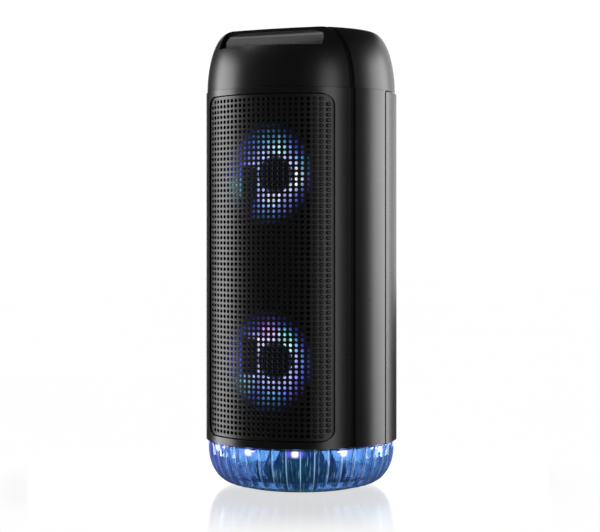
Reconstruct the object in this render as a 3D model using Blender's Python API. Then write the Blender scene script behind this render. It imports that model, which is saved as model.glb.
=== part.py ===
"""A tall round party speaker, built as an assembly of separate pieces.

The speaker stands on the XY plane with its axis on +Z and its grille facing -Y.
Sizes are in millimetres here and become metres as each mesh is made. A depth is a
distance in front of the axis, so a point at depth d has y = -d.
"""

import math

import bmesh
import bpy
from mathutils import Matrix, Vector

MM = 0.001
GAP = 0.3  # air between two pieces that touch

# Sides of a round piece, by how large it is and how well it is seen
FINE = 48
ROUND = 36
MIDDLE = 24
SMALL = 12

# Overall sizes
HEIGHT = 449.5
BODY_RADIUS = 94.6  # front half of the body
REAR_STEP = 0.7  # how far the rear half stands proud of the front half
SPLIT_TURN = math.radians(86.2)  # front of the body to the split between its halves
BASE_HEIGHT = 45.5  # floor to the seam between the clear base and the body
CAP_HEIGHT = 60.5  # seam between body and cap to the top
WALL = 3.0
PLATE = 3.0  # flat inner plates
WIRE_HOLE_RADIUS = 12.0

# Clear base
BASE_CURVE_WIDTH = 30.0
BASE_CURVE_RISE = 37.0
BASE_CURVE_POWER = 2.2
BASE_INSET = 1.3  # base radius under the body's radius at the seam
BASE_TAPER = 0.8  # how much narrower the base is where its curve begins
FLUTES = 42
FLUTE_DEPTH = 0.9
FOOT_THICKNESS = 1.2
FOOT_WIDTH = 14.0
DISH_HEIGHT = 13.5
LAMPS = 12
LAMP_SIZE = 5.0
LAMP_START = math.radians(22.5)

# Cap
CAP_INSET = 1.0  # cap radius under the body's radius
SHOULDER_WIDTH = 22.0
CROWN_RISE = 1.0  # how much the top rises from the shoulder to the axis

# Groove and the trim strip that lies in it, in a plane across the body
GROOVE_DEPTH_BACK = 47.9
GROOVE_DEPTH_FRONT = 52.8
GROOVE_CUT = 2.2
TRIM_THICKNESS = 0.9

# Grille opening in the front half
GRILLE_HALF_WIDTH = 68.2
GRILLE_MARGIN = 7.0  # body left above and below the opening
GRILLE_CORNER = 11.3
GRILLE_CLEARANCE = 0.5
GRILLE_THICKNESS = 1.6
GRILLE_RECESS = 1.6

# Drivers
DRIVER_RADIUS = 51.0
DRIVER_SPACING = 180.5
LOWER_DRIVER_OFFSET = 81.0  # lower driver's centre above the base seam
BAFFLE_SETBACK = 28.6  # baffle's face behind the front of the body
BAFFLE_THICKNESS = 5.0
CONE_MARGIN = 11.7  # cone's rim inside the flange's edge
CONE_DROP = 16.0
COIL_RADIUS = 13.0
DUST_CAP_RADIUS = 18.0
DUST_CAP_RISE = 9.0
DRIVER_DEPTH = 32.0  # baffle's face to the back of the frame
MAGNET_RADIUS = 35.0
MAGNET_LENGTH = 20.0
CONE_TRAVEL = 3.0

# Rear
PORT_RADIUS = 24.0
PORT_LENGTH = 62.0
PORT_BELOW_SEAM = 86.0  # port's centre under the cap seam
JACK_HALF_WIDTH = 36.6
JACK_HEIGHT = 60.0
JACK_ABOVE_SEAM = 62.5  # panel's centre above the base seam
JACK_SETBACK = 13.3  # panel's face inside the rear surface
JACK_RADIUS = 3.3
BOARD_THICKNESS = 1.6
BATTERY_SIZE = (39.0, 19.0, 71.0)
SCREW_RADIUS = 1.6
SCREW_HEAD_RADIUS = 3.6
SCREW_LENGTH = 12.0

# Control deck in the front of the cap
LEDGE_DROP = 20.0  # ledge below the top
DECK_HALF_WIDTH = 55.5
DECK_BACK_DEPTH = 54.0
DECK_FLOOR_DROP = 1.3  # deck floor below the ledge
DECK_SLOPE_FOOT = 62.0
BUTTONS = ("light", "previous", "play", "next", "power")
BUTTON_RADIUS = 4.5
BUTTON_CIRCLE = 75.5
BUTTON_STEP = math.radians(12.5)
BUTTON_TRAVEL = 0.8
BUTTON_PROUD = 2.0

# Hand pocket and grip bar behind the deck
POCKET_HALF_WIDTH = 46.0
POCKET_BACK = 42.0
POCKET_FRONT = 18.0  # rear edge of the bar
POCKET_FLOOR_DROP = 44.5
BAR_THICKNESS = 19.5

SEAM_LOW = BASE_HEIGHT
SEAM_HIGH = HEIGHT - CAP_HEIGHT
SHELL_BOTTOM = SEAM_LOW + GAP
SHELL_TOP = SEAM_HIGH - GAP
REAR_RADIUS = BODY_RADIUS + REAR_STEP
INNER_RADIUS = BODY_RADIUS - WALL
BASE_RADIUS = BODY_RADIUS - BASE_INSET
SHOULDER_RISE = CAP_HEIGHT - CROWN_RISE
CAP_RADIUS = BODY_RADIUS - CAP_INSET
LENS_BOTTOM = FOOT_THICKNESS + GAP
FLOOR_TOP = SHELL_BOTTOM + PLATE
LID_BOTTOM = SEAM_HIGH - 2 * PLATE
GRILLE_BOTTOM = SEAM_LOW + GRILLE_MARGIN
GRILLE_TOP = SEAM_HIGH - GRILLE_MARGIN + 1.0
LOWER_DRIVER_Z = SEAM_LOW + LOWER_DRIVER_OFFSET
UPPER_DRIVER_Z = LOWER_DRIVER_Z + DRIVER_SPACING
DRIVER_HOLE = DRIVER_RADIUS - 4.5
CONE_RADIUS = DRIVER_RADIUS - CONE_MARGIN
BAFFLE_DEPTH = BODY_RADIUS - BAFFLE_SETBACK
FRAME_DEPTH = BAFFLE_DEPTH - DRIVER_DEPTH
FLANGE_BACK = BAFFLE_DEPTH + 2 * GAP + 1.0
FLANGE_FRONT = FLANGE_BACK + 1.8
LEDGE_Z = HEIGHT - LEDGE_DROP
DECK_FLOOR = LEDGE_Z - DECK_FLOOR_DROP
DECK_BOTTOM = DECK_FLOOR - WALL
JACK_Z = SEAM_LOW + JACK_ABOVE_SEAM
JACK_DEPTH = REAR_RADIUS - JACK_SETBACK
PORT_Z = SEAM_HIGH - PORT_BELOW_SEAM

GLOSS_BLACK = ("gloss_black", (0.012, 0.012, 0.013), 0.22, 0.0)
SATIN_BLACK = ("satin_black", (0.018, 0.018, 0.019), 0.42, 0.0)
MATTE_BLACK = ("matte_black", (0.03, 0.03, 0.03), 0.7, 0.0)
CLEAR_BLUE = ("clear_blue", (0.25, 0.5, 0.85), 0.08, 0.0)
SOFT_BLACK = ("soft_black", (0.02, 0.02, 0.02), 0.85, 0.0)
SILVER = ("silver", (0.75, 0.77, 0.8), 0.25, 1.0)
STEEL = ("steel", (0.5, 0.5, 0.52), 0.35, 1.0)
BOARD_GREEN = ("board_green", (0.03, 0.16, 0.08), 0.5, 0.0)
PAPER_CONE = ("paper_cone", (0.3, 0.32, 0.36), 0.8, 0.0)
DIFFUSER = ("diffuser", (0.8, 0.86, 0.95), 0.4, 0.0)
CELL_BLUE = ("cell_blue", (0.05, 0.16, 0.4), 0.4, 0.0)
CLOTH_TAN = ("cloth_tan", (0.4, 0.28, 0.12), 0.9, 0.0)


def material(finish):
    """The Principled material of a finish, made once."""
    name, colour, roughness, metallic = finish
    found = bpy.data.materials.get(name)
    if found:
        return found
    made = bpy.data.materials.new(name)
    made.use_nodes = True
    shader = made.node_tree.nodes["Principled BSDF"]
    shader.inputs["Base Color"].default_value = (*colour, 1.0)
    shader.inputs["Roughness"].default_value = roughness
    shader.inputs["Metallic"].default_value = metallic
    return made


def finished(name, bm, finish, smooth_angle=math.radians(35)):
    """An object made from a bmesh in millimetres, facing outwards."""
    bmesh.ops.recalc_face_normals(bm, faces=bm.faces)
    bmesh.ops.scale(bm, vec=(MM, MM, MM), verts=bm.verts)
    mesh = bpy.data.meshes.new(name)
    bm.to_mesh(mesh)
    bm.free()
    mesh.shade_smooth()
    mesh.set_sharp_from_angle(angle=smooth_angle)
    mesh.materials.append(material(finish))
    obj = bpy.data.objects.new(name, mesh)
    bpy.context.collection.objects.link(obj)
    return obj


def turned(name, profile, finish, segments=32, start=0.0, sweep=math.tau, wave=None):
    """A closed (radius, height) outline turned about Z, or about part of a turn.

    wave(angle, radius, height) gives the radius at an angle, for a fluted wall.
    """
    bm = bmesh.new()
    whole = abs(sweep - math.tau) < 1e-9
    rings = []
    for step in range(segments if whole else segments + 1):
        angle = start + sweep * step / segments
        ring = []
        for index, (radius, height) in enumerate(profile):
            if radius < 1e-6 and rings:
                ring.append(rings[0][index])
                continue
            r = wave(angle, radius, height) if wave else radius
            ring.append(bm.verts.new((r * math.sin(angle), -r * math.cos(angle), height)))
        rings.append(ring)
    pairs = list(zip(rings, rings[1:] + rings[:1])) if whole else list(zip(rings, rings[1:]))
    for ring, other in pairs:
        for index in range(len(profile)):
            after = (index + 1) % len(profile)
            corners = [ring[index], ring[after], other[after], other[index]]
            corners = list(dict.fromkeys(corners))
            if len(corners) > 2:
                bm.faces.new(corners)
    if not whole:
        bm.faces.new(rings[0])
        bm.faces.new(rings[-1])
    return finished(name, bm, finish)


def prism(name, outline, low, high, finish, along="Z"):
    """A closed outline pushed from low to high along Z, or along X.

    Along Z the outline holds (x, y). Along X it holds (depth, z).
    """
    bm = bmesh.new()
    if along == "Z":
        base = [bm.verts.new((x, y, low)) for x, y in outline]
        push = Vector((0, 0, high - low))
    else:
        base = [bm.verts.new((low, -depth, z)) for depth, z in outline]
        push = Vector((high - low, 0, 0))
    face = bm.faces.new(base)
    pushed = bmesh.ops.extrude_face_region(bm, geom=[face], use_keep_orig=True)
    moved = [v for v in pushed["geom"] if isinstance(v, bmesh.types.BMVert)]
    bmesh.ops.translate(bm, vec=push, verts=moved)
    return finished(name, bm, finish)


def box(name, low, high, finish, bevel=0.0):
    """A box between two corners, with its edges rounded if a bevel is given."""
    bm = bmesh.new()
    size = [b - a for a, b in zip(low, high)]
    middle = [(a + b) / 2 for a, b in zip(low, high)]
    bmesh.ops.create_cube(bm, size=1.0)
    bmesh.ops.scale(bm, vec=size, verts=bm.verts)
    bmesh.ops.translate(bm, vec=middle, verts=bm.verts)
    if bevel:
        bmesh.ops.bevel(bm, geom=bm.edges[:], offset=bevel, segments=2, profile=0.5, affect="EDGES")
    return finished(name, bm, finish)


def arc(centre, radius, start, end, steps):
    """Points along an arc, angles in degrees from the first axis."""
    angles = [math.radians(start + (end - start) * i / steps) for i in range(steps + 1)]
    return [(centre[0] + radius * math.cos(a), centre[1] + radius * math.sin(a)) for a in angles]


def rounded_rectangle(half_width, low, high, corner, steps=5):
    """A rectangle centred on the first axis, with round corners, counter-clockwise."""
    x, bottom, top = half_width - corner, low + corner, high - corner
    return (
        arc((x, bottom), corner, -90, 0, steps)
        + arc((x, top), corner, 0, 90, steps)
        + arc((-x, top), corner, 90, 180, steps)
        + arc((-x, bottom), corner, 180, 270, steps)
    )


def front_prism(name, outline, near, far, finish):
    """An outline of (x, z) pushed from depth near to depth far."""
    made = prism(name, [(x, z) for x, z in outline], near, far, finish)
    made.data.transform(Matrix.Rotation(math.radians(90), 4, "X"))
    return made


def combine(obj, other, operation="DIFFERENCE"):
    """A live Boolean between an object and a helper that isn't a piece."""
    other.hide_render = True
    other.display_type = "WIRE"
    modifier = obj.modifiers.new(f"{operation.lower()}_{other.name}", "BOOLEAN")
    modifier.operation = operation
    modifier.object = other
    return obj


def facing_front(obj, height):
    """Stand an object turned about Z so that its axis points forward at a height."""
    obj.rotation_euler = (math.radians(90), 0, 0)
    obj.location = (0, 0, height * MM)
    return obj


def facing_back(obj, x, height):
    """Stand an object turned about Z so that its axis points backward."""
    obj.rotation_euler = (math.radians(-90), 0, 0)
    obj.location = (x * MM, 0, height * MM)
    return obj


def cap_outline(inset, steps=6):
    """The cap's outer (radius, z) curve, moved inwards by an inset, seam to axis.

    The shoulder is part of an ellipse. It runs into a shallow crown where both
    have the same slope.
    """
    end = math.atan(SHOULDER_RISE / SHOULDER_WIDTH * (CAP_RADIUS - SHOULDER_WIDTH) / (2 * CROWN_RISE))
    edge = CAP_RADIUS - SHOULDER_WIDTH
    rise = SHOULDER_RISE - inset
    points = []
    for step in range(steps + 1):
        angle = end * step / steps
        radius = edge - inset + SHOULDER_WIDTH * math.cos(angle)
        points.append((radius, SEAM_HIGH + rise * math.sin(angle)))
    last_radius, last_z = points[-1]
    top = HEIGHT - inset
    for share in (0.6, 0.25):
        points.append((last_radius * share, top - (top - last_z) * share * share))
    points.append((0.0, top))
    return points


def solid_inside(name, inset):
    """Body and cap as one solid, moved inwards by an inset. It shapes other pieces."""
    outline = cap_outline(inset)
    body = [(BODY_RADIUS - inset, SEAM_LOW), (BODY_RADIUS - inset, SEAM_HIGH - 0.01)]
    return turned(name, [(0.0, SEAM_LOW)] + body + outline, MATTE_BLACK, FINE)


def groove_cutter(name):
    """The slab across the body that the groove takes out of its surface."""
    low = (-1.2 * BODY_RADIUS, -GROOVE_DEPTH_FRONT, SEAM_LOW - 10)
    high = (1.2 * BODY_RADIUS, -GROOVE_DEPTH_BACK, HEIGHT + 10)
    slab = box(name, low, high, MATTE_BLACK)
    return combine(slab, solid_inside(f"{name}_core", GROOVE_CUT))


def base_radius_at(height):
    """The clear base's outer radius at a height above its lowest point."""
    share = max(0.0, 1.0 - height / BASE_CURVE_RISE)
    curve = (1.0 - share**BASE_CURVE_POWER) ** (1.0 / BASE_CURVE_POWER)
    return BASE_RADIUS - BASE_TAPER - BASE_CURVE_WIDTH * (1.0 - curve)


def fluted(angle, radius, height):
    """Ribs run down the base's outer wall, FLUTES of them, each a vertex apart."""
    if radius < BASE_RADIUS - BASE_TAPER - BASE_CURVE_WIDTH:
        return radius
    return radius - FLUTE_DEPTH * (0.5 - 0.5 * math.cos(FLUTES * angle))


def make_base():
    """The clear fluted bowl, its foot, the reflector and the ring of lamps."""
    top = SEAM_LOW - GAP
    levels = [BASE_CURVE_RISE * (step / 5) ** 1.8 for step in range(6)]
    outer = [(base_radius_at(level), LENS_BOTTOM + level) for level in levels]
    inner = [(r - WALL, max(z, LENS_BOTTOM + WALL)) for r, z in outer[2:]]
    profile = [(0.0, LENS_BOTTOM), (outer[0][0] - 6, LENS_BOTTOM)] + outer
    profile += [(BASE_RADIUS, top), (BASE_RADIUS - WALL, top)]
    profile += [(r, z) for r, z in reversed(inner)]
    profile += [(inner[0][0] - 14, LENS_BOTTOM + WALL), (0.0, LENS_BOTTOM + WALL)]
    turned("base_lens", profile, CLEAR_BLUE, 2 * FLUTES, wave=fluted)

    foot_outer = outer[0][0] - 2.0
    foot_inner = foot_outer - FOOT_WIDTH
    turned("foot_ring", ring(foot_inner, foot_outer, 0, FOOT_THICKNESS), SOFT_BLACK, ROUND)

    sheet = 1.5
    brim = base_radius_at(DISH_HEIGHT - LENS_BOTTOM - sheet) - WALL - FLUTE_DEPTH - 2.0
    cone_top = SEAM_LOW - 8.0
    post = LENS_BOTTOM + WALL + GAP
    dish = [(0, cone_top), (18, cone_top), (44, DISH_HEIGHT), (brim, DISH_HEIGHT)]
    dish += [(brim, DISH_HEIGHT - sheet), (43.3, DISH_HEIGHT - sheet), (17.6, cone_top - sheet)]
    dish += [(14, cone_top - sheet), (14, post), (12, post), (12, cone_top - sheet), (0, cone_top - sheet)]
    turned("reflector_dish", dish, SILVER, ROUND)

    board_top = SEAM_LOW - GAP / 2
    board_low = board_top - BOARD_THICKNESS
    outer_edge = BASE_RADIUS - WALL - FLUTE_DEPTH - 0.6
    inner_edge = outer_edge - 13.0
    flat = ring(inner_edge, outer_edge, board_low, board_top)
    board = turned("light_board", flat, BOARD_GREEN, FINE)
    circle = outer_edge - 1.2 * LAMP_SIZE
    for index in range(LAMPS):
        angle = LAMP_START + math.tau * index / LAMPS
        half = LAMP_SIZE / 2
        low, high = (-half, -half, board_low - 1.6), (half, half, board_low + 0.4)
        lamp = box(f"lamp_{index + 1}", low, high, DIFFUSER)
        lamp.matrix_world = Matrix.Rotation(angle, 4, "Z") @ Matrix.Translation((0, -circle * MM, 0))
        combine(board, lamp, "UNION")

    plate = ring(WIRE_HOLE_RADIUS, INNER_RADIUS - GAP, SHELL_BOTTOM, FLOOR_TOP)
    turned("floor_plate", plate, MATTE_BLACK, ROUND)


def make_shells():
    """The front and rear halves of the body, the groove's trims and the chamber's lid."""
    slit = GAP / 2 / BODY_RADIUS
    front_end = SPLIT_TURN - slit
    rear_start = SPLIT_TURN + slit
    wall = [(INNER_RADIUS, SHELL_BOTTOM), (BODY_RADIUS, SHELL_BOTTOM)]
    wall += [(BODY_RADIUS, SHELL_TOP), (INNER_RADIUS, SHELL_TOP)]
    front = turned("front_shell", wall, GLOSS_BLACK, FINE, -front_end, 2 * front_end)
    opening = rounded_rectangle(GRILLE_HALF_WIDTH, GRILLE_BOTTOM, GRILLE_TOP, GRILLE_CORNER)
    window = front_prism("grille_window", opening, 0.2 * BODY_RADIUS, 1.3 * BODY_RADIUS, MATTE_BLACK)
    combine(front, window)
    combine(front, groove_cutter("body_groove"))

    chamfer = 1.4
    wall = [(REAR_RADIUS - WALL, SHELL_BOTTOM), (REAR_RADIUS, SHELL_BOTTOM)]
    wall += [(REAR_RADIUS, SHELL_TOP - chamfer), (REAR_RADIUS - chamfer, SHELL_TOP)]
    wall += [(REAR_RADIUS - WALL, SHELL_TOP)]
    # An odd number of steps, so that no facet's edge falls on the openings' own edges.
    rear_sweep = math.tau - 2 * rear_start
    rear = turned("rear_shell", wall, GLOSS_BLACK, FINE - 1, rear_start, rear_sweep)
    through = disc(PORT_RADIUS + WALL + GAP, 0.6 * REAR_RADIUS, 1.3 * REAR_RADIUS)
    port_hole = turned("port_hole", through, MATTE_BLACK, ROUND)
    combine(rear, facing_back(port_hole, 0, PORT_Z))
    clear = JACK_HALF_WIDTH + GAP
    low, high = JACK_Z - JACK_HEIGHT / 2 - GAP, JACK_Z + JACK_HEIGHT / 2 + GAP
    window_low, window_high = (-clear, 0.6 * REAR_RADIUS, low), (clear, 1.3 * REAR_RADIUS, high)
    combine(rear, box("jack_window", window_low, window_high, MATTE_BLACK))
    across = disc(SCREW_HEAD_RADIUS + GAP, REAR_RADIUS - 4 * WALL, REAR_RADIUS + 4 * WALL)
    for index, (turn, height) in enumerate(screw_places()):
        hole = turned(f"screw_hole_{index + 1}", across, MATTE_BLACK, SMALL)
        combine(rear, radial(hole, turn, height))
        screw = [(0, REAR_RADIUS - SCREW_LENGTH), (SCREW_RADIUS, REAR_RADIUS - SCREW_LENGTH)]
        screw += [(SCREW_RADIUS, REAR_RADIUS - 2.4), (SCREW_HEAD_RADIUS, REAR_RADIUS - 2.4)]
        screw += [(SCREW_HEAD_RADIUS, REAR_RADIUS - 0.6), (0, REAR_RADIUS - 0.6)]
        radial(turned(f"shell_screw_{index + 1}", screw, STEEL, SMALL), turn, height)

    lid = ring(WIRE_HOLE_RADIUS, INNER_RADIUS - GAP, LID_BOTTOM, LID_BOTTOM + PLATE)
    turned("chamber_lid", lid, MATTE_BLACK, ROUND)

    for side, sign in (("left", -1), ("right", 1)):
        strip = trim_sheet(f"side_trim_{side}")
        low = (sign * 0.5 * BODY_RADIUS, -GROOVE_DEPTH_FRONT + GAP, SHELL_BOTTOM)
        high = (sign * 1.2 * BODY_RADIUS, -GROOVE_DEPTH_BACK - GAP, SHELL_TOP)
        combine(strip, box(f"{side}_strip", *ordered(low, high), MATTE_BLACK), "INTERSECT")


def ordered(first, second):
    """Two corners put in order, the lower one first on each axis."""
    low = tuple(min(pair) for pair in zip(first, second))
    high = tuple(max(pair) for pair in zip(first, second))
    return low, high


def trim_sheet(name):
    """A thin skin that follows body and cap at the groove's floor, to be cut to a strip."""
    floor = GROOVE_CUT - GAP
    outer = floor - TRIM_THICKNESS
    low = SEAM_LOW - 5
    outside = [(BODY_RADIUS - outer, low), (BODY_RADIUS - outer, SEAM_HIGH - 0.01)] + cap_outline(outer)
    inside = [(BODY_RADIUS - floor, low), (BODY_RADIUS - floor, SEAM_HIGH - 0.01)] + cap_outline(floor)
    return turned(name, outside + inside[::-1], SATIN_BLACK, FINE)


def disc(radius, low, high):
    """The profile of a plain cylinder."""
    return [(0, low), (radius, low), (radius, high), (0, high)]


def screw_places():
    """Turn from the front and height of each screw in the rear half."""
    turns = (math.radians(130), math.radians(230))
    return [(turn, height) for height in (SEAM_LOW + 22, SEAM_HIGH - 22) for turn in turns]


def radial(obj, turn, height):
    """Point an object turned about Z outwards, at a turn from the front."""
    out = Matrix.Rotation(turn, 4, "Z") @ Matrix.Rotation(math.radians(90), 4, "X")
    obj.matrix_world = Matrix.Translation((0, 0, height * MM)) @ out
    return obj


def make_front():
    """The curved grille panel and the flat baffle that holds the drivers."""
    outer = BODY_RADIUS - GRILLE_RECESS
    inner = outer - GRILLE_THICKNESS
    low, high = GRILLE_BOTTOM + GRILLE_CLEARANCE, GRILLE_TOP - GRILLE_CLEARANCE
    half = GRILLE_HALF_WIDTH - GRILLE_CLEARANCE
    reach = math.asin((half + 3) / outer)
    skin = [(inner, low - 2), (outer, low - 2), (outer, high + 2), (inner, high + 2)]
    grille = turned("grille", skin, SATIN_BLACK, ROUND, -reach, 2 * reach)
    outline = rounded_rectangle(half, low, high, GRILLE_CORNER - GRILLE_CLEARANCE)
    whole = front_prism("grille_outline", outline, 0.2 * BODY_RADIUS, 1.3 * BODY_RADIUS, MATTE_BLACK)
    combine(grille, whole, "INTERSECT")

    front = BAFFLE_DEPTH
    back = BAFFLE_DEPTH - BAFFLE_THICKNESS
    flat = math.sqrt(INNER_RADIUS**2 - front**2) - 3.5
    side = INNER_RADIUS - 1.2
    wing = 0.79 * side
    wing_depth = math.sqrt(side**2 - wing**2)
    section = [(flat, -front), (wing, -wing_depth)]
    section += [(wing - 0.4, -wing_depth + BAFFLE_THICKNESS), (flat - 2, -back)]
    section += [(-x, y) for x, y in reversed(section)]
    baffle = prism("baffle", section, FLOOR_TOP + GAP, LID_BOTTOM - GAP, MATTE_BLACK)
    for name, height in (("lower", LOWER_DRIVER_Z), ("upper", UPPER_DRIVER_Z)):
        through = disc(DRIVER_HOLE, BAFFLE_DEPTH - 3 * BAFFLE_THICKNESS, BAFFLE_DEPTH + BAFFLE_THICKNESS)
        hole = turned(f"{name}_driver_hole", through, MATTE_BLACK, ROUND)
        combine(baffle, facing_front(hole, height))


def make_driver(side, height):
    """One driver, from its magnet to the lit ring around it."""

    def piece(part, profile, finish, segments):
        return facing_front(turned(f"{side}_{part}", profile, finish, segments), height)

    sheet = 1.2
    gasket_low = BAFFLE_DEPTH + GAP
    hole = DRIVER_HOLE - 1.0
    gasket = ring(DRIVER_HOLE + 0.5, DRIVER_RADIUS, gasket_low, FLANGE_BACK - GAP)
    piece("gasket", gasket, SOFT_BLACK, MIDDLE)

    rim = CONE_RADIUS + 2.2
    shelf = COIL_RADIUS + 16.0
    neck = COIL_RADIUS + 5.0
    frame = [(DRIVER_RADIUS, FLANGE_FRONT), (rim + 1.5, FLANGE_FRONT), (rim + 1.5, FLANGE_BACK - 3)]
    frame += [(shelf + 1.0, FRAME_DEPTH + 6), (shelf - 5, FRAME_DEPTH + 6), (shelf - 5, FRAME_DEPTH + sheet)]
    frame += [(neck, FRAME_DEPTH + sheet), (neck, FRAME_DEPTH), (shelf - 3.5, FRAME_DEPTH)]
    frame += [(shelf - 3.5, FRAME_DEPTH + 5), (shelf + 2.0, FRAME_DEPTH + 5), (hole, FLANGE_BACK - 4)]
    frame += [(hole, FLANGE_BACK), (DRIVER_RADIUS, FLANGE_BACK)]
    piece("driver_frame", frame, SATIN_BLACK, MIDDLE)

    top = FRAME_DEPTH - GAP
    back = top - MAGNET_LENGTH
    slot = back + 4.0
    pole, slot_wall = COIL_RADIUS - 1.2, COIL_RADIUS + 1.3
    magnet = [(0, back), (MAGNET_RADIUS - 3, back), (MAGNET_RADIUS - 3, back + 3), (MAGNET_RADIUS, back + 3)]
    magnet += [(MAGNET_RADIUS, top - 4), (MAGNET_RADIUS - 5, top - 4), (MAGNET_RADIUS - 5, top)]
    magnet += [(slot_wall, top), (slot_wall, slot), (pole, slot), (pole, top), (0, top)]
    piece("magnet", magnet, STEEL, MIDDLE)

    mouth = FLANGE_FRONT - 1.5
    throat = mouth - CONE_DROP
    coil_end = slot + CONE_TRAVEL + 2.0
    coil = COIL_RADIUS - 0.5
    cone = [(CONE_RADIUS, mouth), (COIL_RADIUS + 0.8, throat)]
    cone += [(coil + 1, throat - 1.5), (coil + 1, coil_end)]
    cone += [(coil, coil_end), (coil, throat + 0.6), (CONE_RADIUS - 1.2, mouth + 0.5)]
    piece("cone", cone, PAPER_CONE, MIDDLE)

    foot = throat + CONE_DROP * (DUST_CAP_RADIUS - coil) / (CONE_RADIUS - coil) + 1.3
    dome = arc_over(DUST_CAP_RADIUS, foot, DUST_CAP_RISE, 3)
    under = arc_over(DUST_CAP_RADIUS - 1.2, foot, DUST_CAP_RISE - 1.0, 3)
    piece("dust_cap", dome + under[::-1], GLOSS_BLACK, MIDDLE)

    inner_edge, outer_edge = CONE_RADIUS + GAP, DRIVER_HOLE - 0.6
    seat = FLANGE_FRONT + GAP
    roll = (outer_edge - 2.0 - inner_edge - 0.4) / 2
    middle = inner_edge + 0.4 + roll
    over = half_roll(middle, seat, roll, 4)
    back_side = half_roll(middle, seat, roll - 0.8, 3)
    surround = [(inner_edge, seat)] + over[1:-1] + [(outer_edge - 2.0, seat + 0.8), (outer_edge, seat + 0.8)]
    surround += [(outer_edge, seat)] + back_side[::-1]
    piece("surround", surround, SOFT_BLACK, MIDDLE)

    level = FRAME_DEPTH + 6 + GAP
    reach = shelf - 0.5 - COIL_RADIUS
    web = [(COIL_RADIUS + 0.8 + reach * i / 4, level + (1.5 if i % 2 else 0.0)) for i in range(5)]
    spider = web + [(r, z + 0.8) for r, z in reversed(web)]
    piece("spider", spider, CLOTH_TAN, MIDDLE)

    light = ring(outer_edge + GAP, DRIVER_RADIUS, seat, seat + 3.4)
    piece("light_ring", light, DIFFUSER, ROUND)


def ring(inner, outer, low, high):
    """The profile of a flat ring."""
    return [(inner, low), (outer, low), (outer, high), (inner, high)]


def half_roll(middle, seat, radius, steps):
    """Half a circle standing on its seat, from the inner side to the outer side."""
    return [(middle - x, seat + y) for x, y in arc((0, 0), radius, 0, 180, steps)]


def arc_over(radius, foot, rise, steps):
    """A quarter of a low dome, from its rim at the foot to the axis."""
    angles = [math.pi / 2 * i / steps for i in range(steps + 1)]
    points = [(radius * math.cos(a), foot + rise * math.sin(a)) for a in angles]
    points[-1] = (0.0, foot + rise)
    return points


def make_port():
    """The bass port's flared tube, cut to the curve of the rear half."""
    inside, outside = PORT_RADIUS, PORT_RADIUS + WALL
    mouth = REAR_RADIUS + 3
    tail = mouth - PORT_LENGTH
    profile = [(outside, tail), (outside, mouth), (inside + 2.4, mouth), (inside + 0.8, mouth - 8)]
    profile += [(inside, mouth - 16), (inside, tail)]
    port = facing_back(turned("bass_port", profile, SATIN_BLACK, ROUND - 4), 0, PORT_Z)
    round_body = turned("port_trim_body", disc(REAR_RADIUS + 0.6, PORT_Z - 60, PORT_Z + 60), MATTE_BLACK, 96)
    combine(port, round_body, "INTERSECT")


def make_jacks():
    """The recessed panel at the back with its sockets, switch and circuit board."""
    low, high = JACK_Z - JACK_HEIGHT / 2, JACK_Z + JACK_HEIGHT / 2
    face = JACK_DEPTH
    outside = 1.3 * REAR_RADIUS
    corner = (JACK_HALF_WIDTH, outside, high)
    panel = box("jack_panel", (-JACK_HALF_WIDTH, face - WALL, low), corner, SATIN_BLACK)
    round_body = turned("panel_trim_body", disc(REAR_RADIUS - 0.4, low - 9, high + 9), MATTE_BLACK, 96)
    combine(panel, round_body, "INTERSECT")
    inset = WALL - 0.5
    hollow = (JACK_HALF_WIDTH - inset, outside + 5, high - inset)
    combine(panel, box("panel_hollow", (-hollow[0], face, low + inset), hollow, MATTE_BLACK))

    board_back = face - 22.0
    rows = (JACK_Z + 13.0, JACK_Z - 13.0)
    left, right = -19.0, 19.0
    reach = face + 3.0
    tail = board_back + GAP

    mic = [(6.5, tail), (6.5, face - WALL - GAP), (5.6, face - WALL - GAP), (5.6, reach)]
    mic += [(JACK_RADIUS, reach), (JACK_RADIUS, tail + 2), (0, tail + 2), (0, tail)]
    facing_back(turned("mic_socket", mic, SILVER, MIDDLE), left, rows[0])
    hole = turned("mic_hole", disc(5.6 + GAP, face - 9, face + 9), MATTE_BLACK, MIDDLE)
    combine(panel, facing_back(hole, left, rows[0]))

    aux = [(4.5, tail), (4.5, face - WALL - GAP), (3.6, face - WALL - GAP), (3.6, face + 1.2)]
    aux += [(1.8, face + 1.2), (1.8, tail + 5), (0, tail + 5), (0, tail)]
    facing_back(turned("aux_socket", aux, SATIN_BLACK, SMALL), left, rows[1])
    hole = turned("aux_hole", disc(3.6 + GAP, face - 9, face + 9), MATTE_BLACK, SMALL)
    combine(panel, facing_back(hole, left, rows[1]))

    make_slot_socket(panel, "usb_socket", (0.0, rows[1]), (13.2, 5.8), (12.0, 4.6), 1.9, tail)
    make_slot_socket(panel, "charge_socket", (right, rows[1]), (9.6, 3.9), (8.6, 2.9), 0.8, tail)
    make_power_switch(panel, (10.0, rows[0]), tail)

    half = JACK_HALF_WIDTH - 1.0
    front = board_back - BOARD_THICKNESS
    box("main_board", (-half, front, low - 4), (half, board_back, high + 4), BOARD_GREEN)


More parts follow.
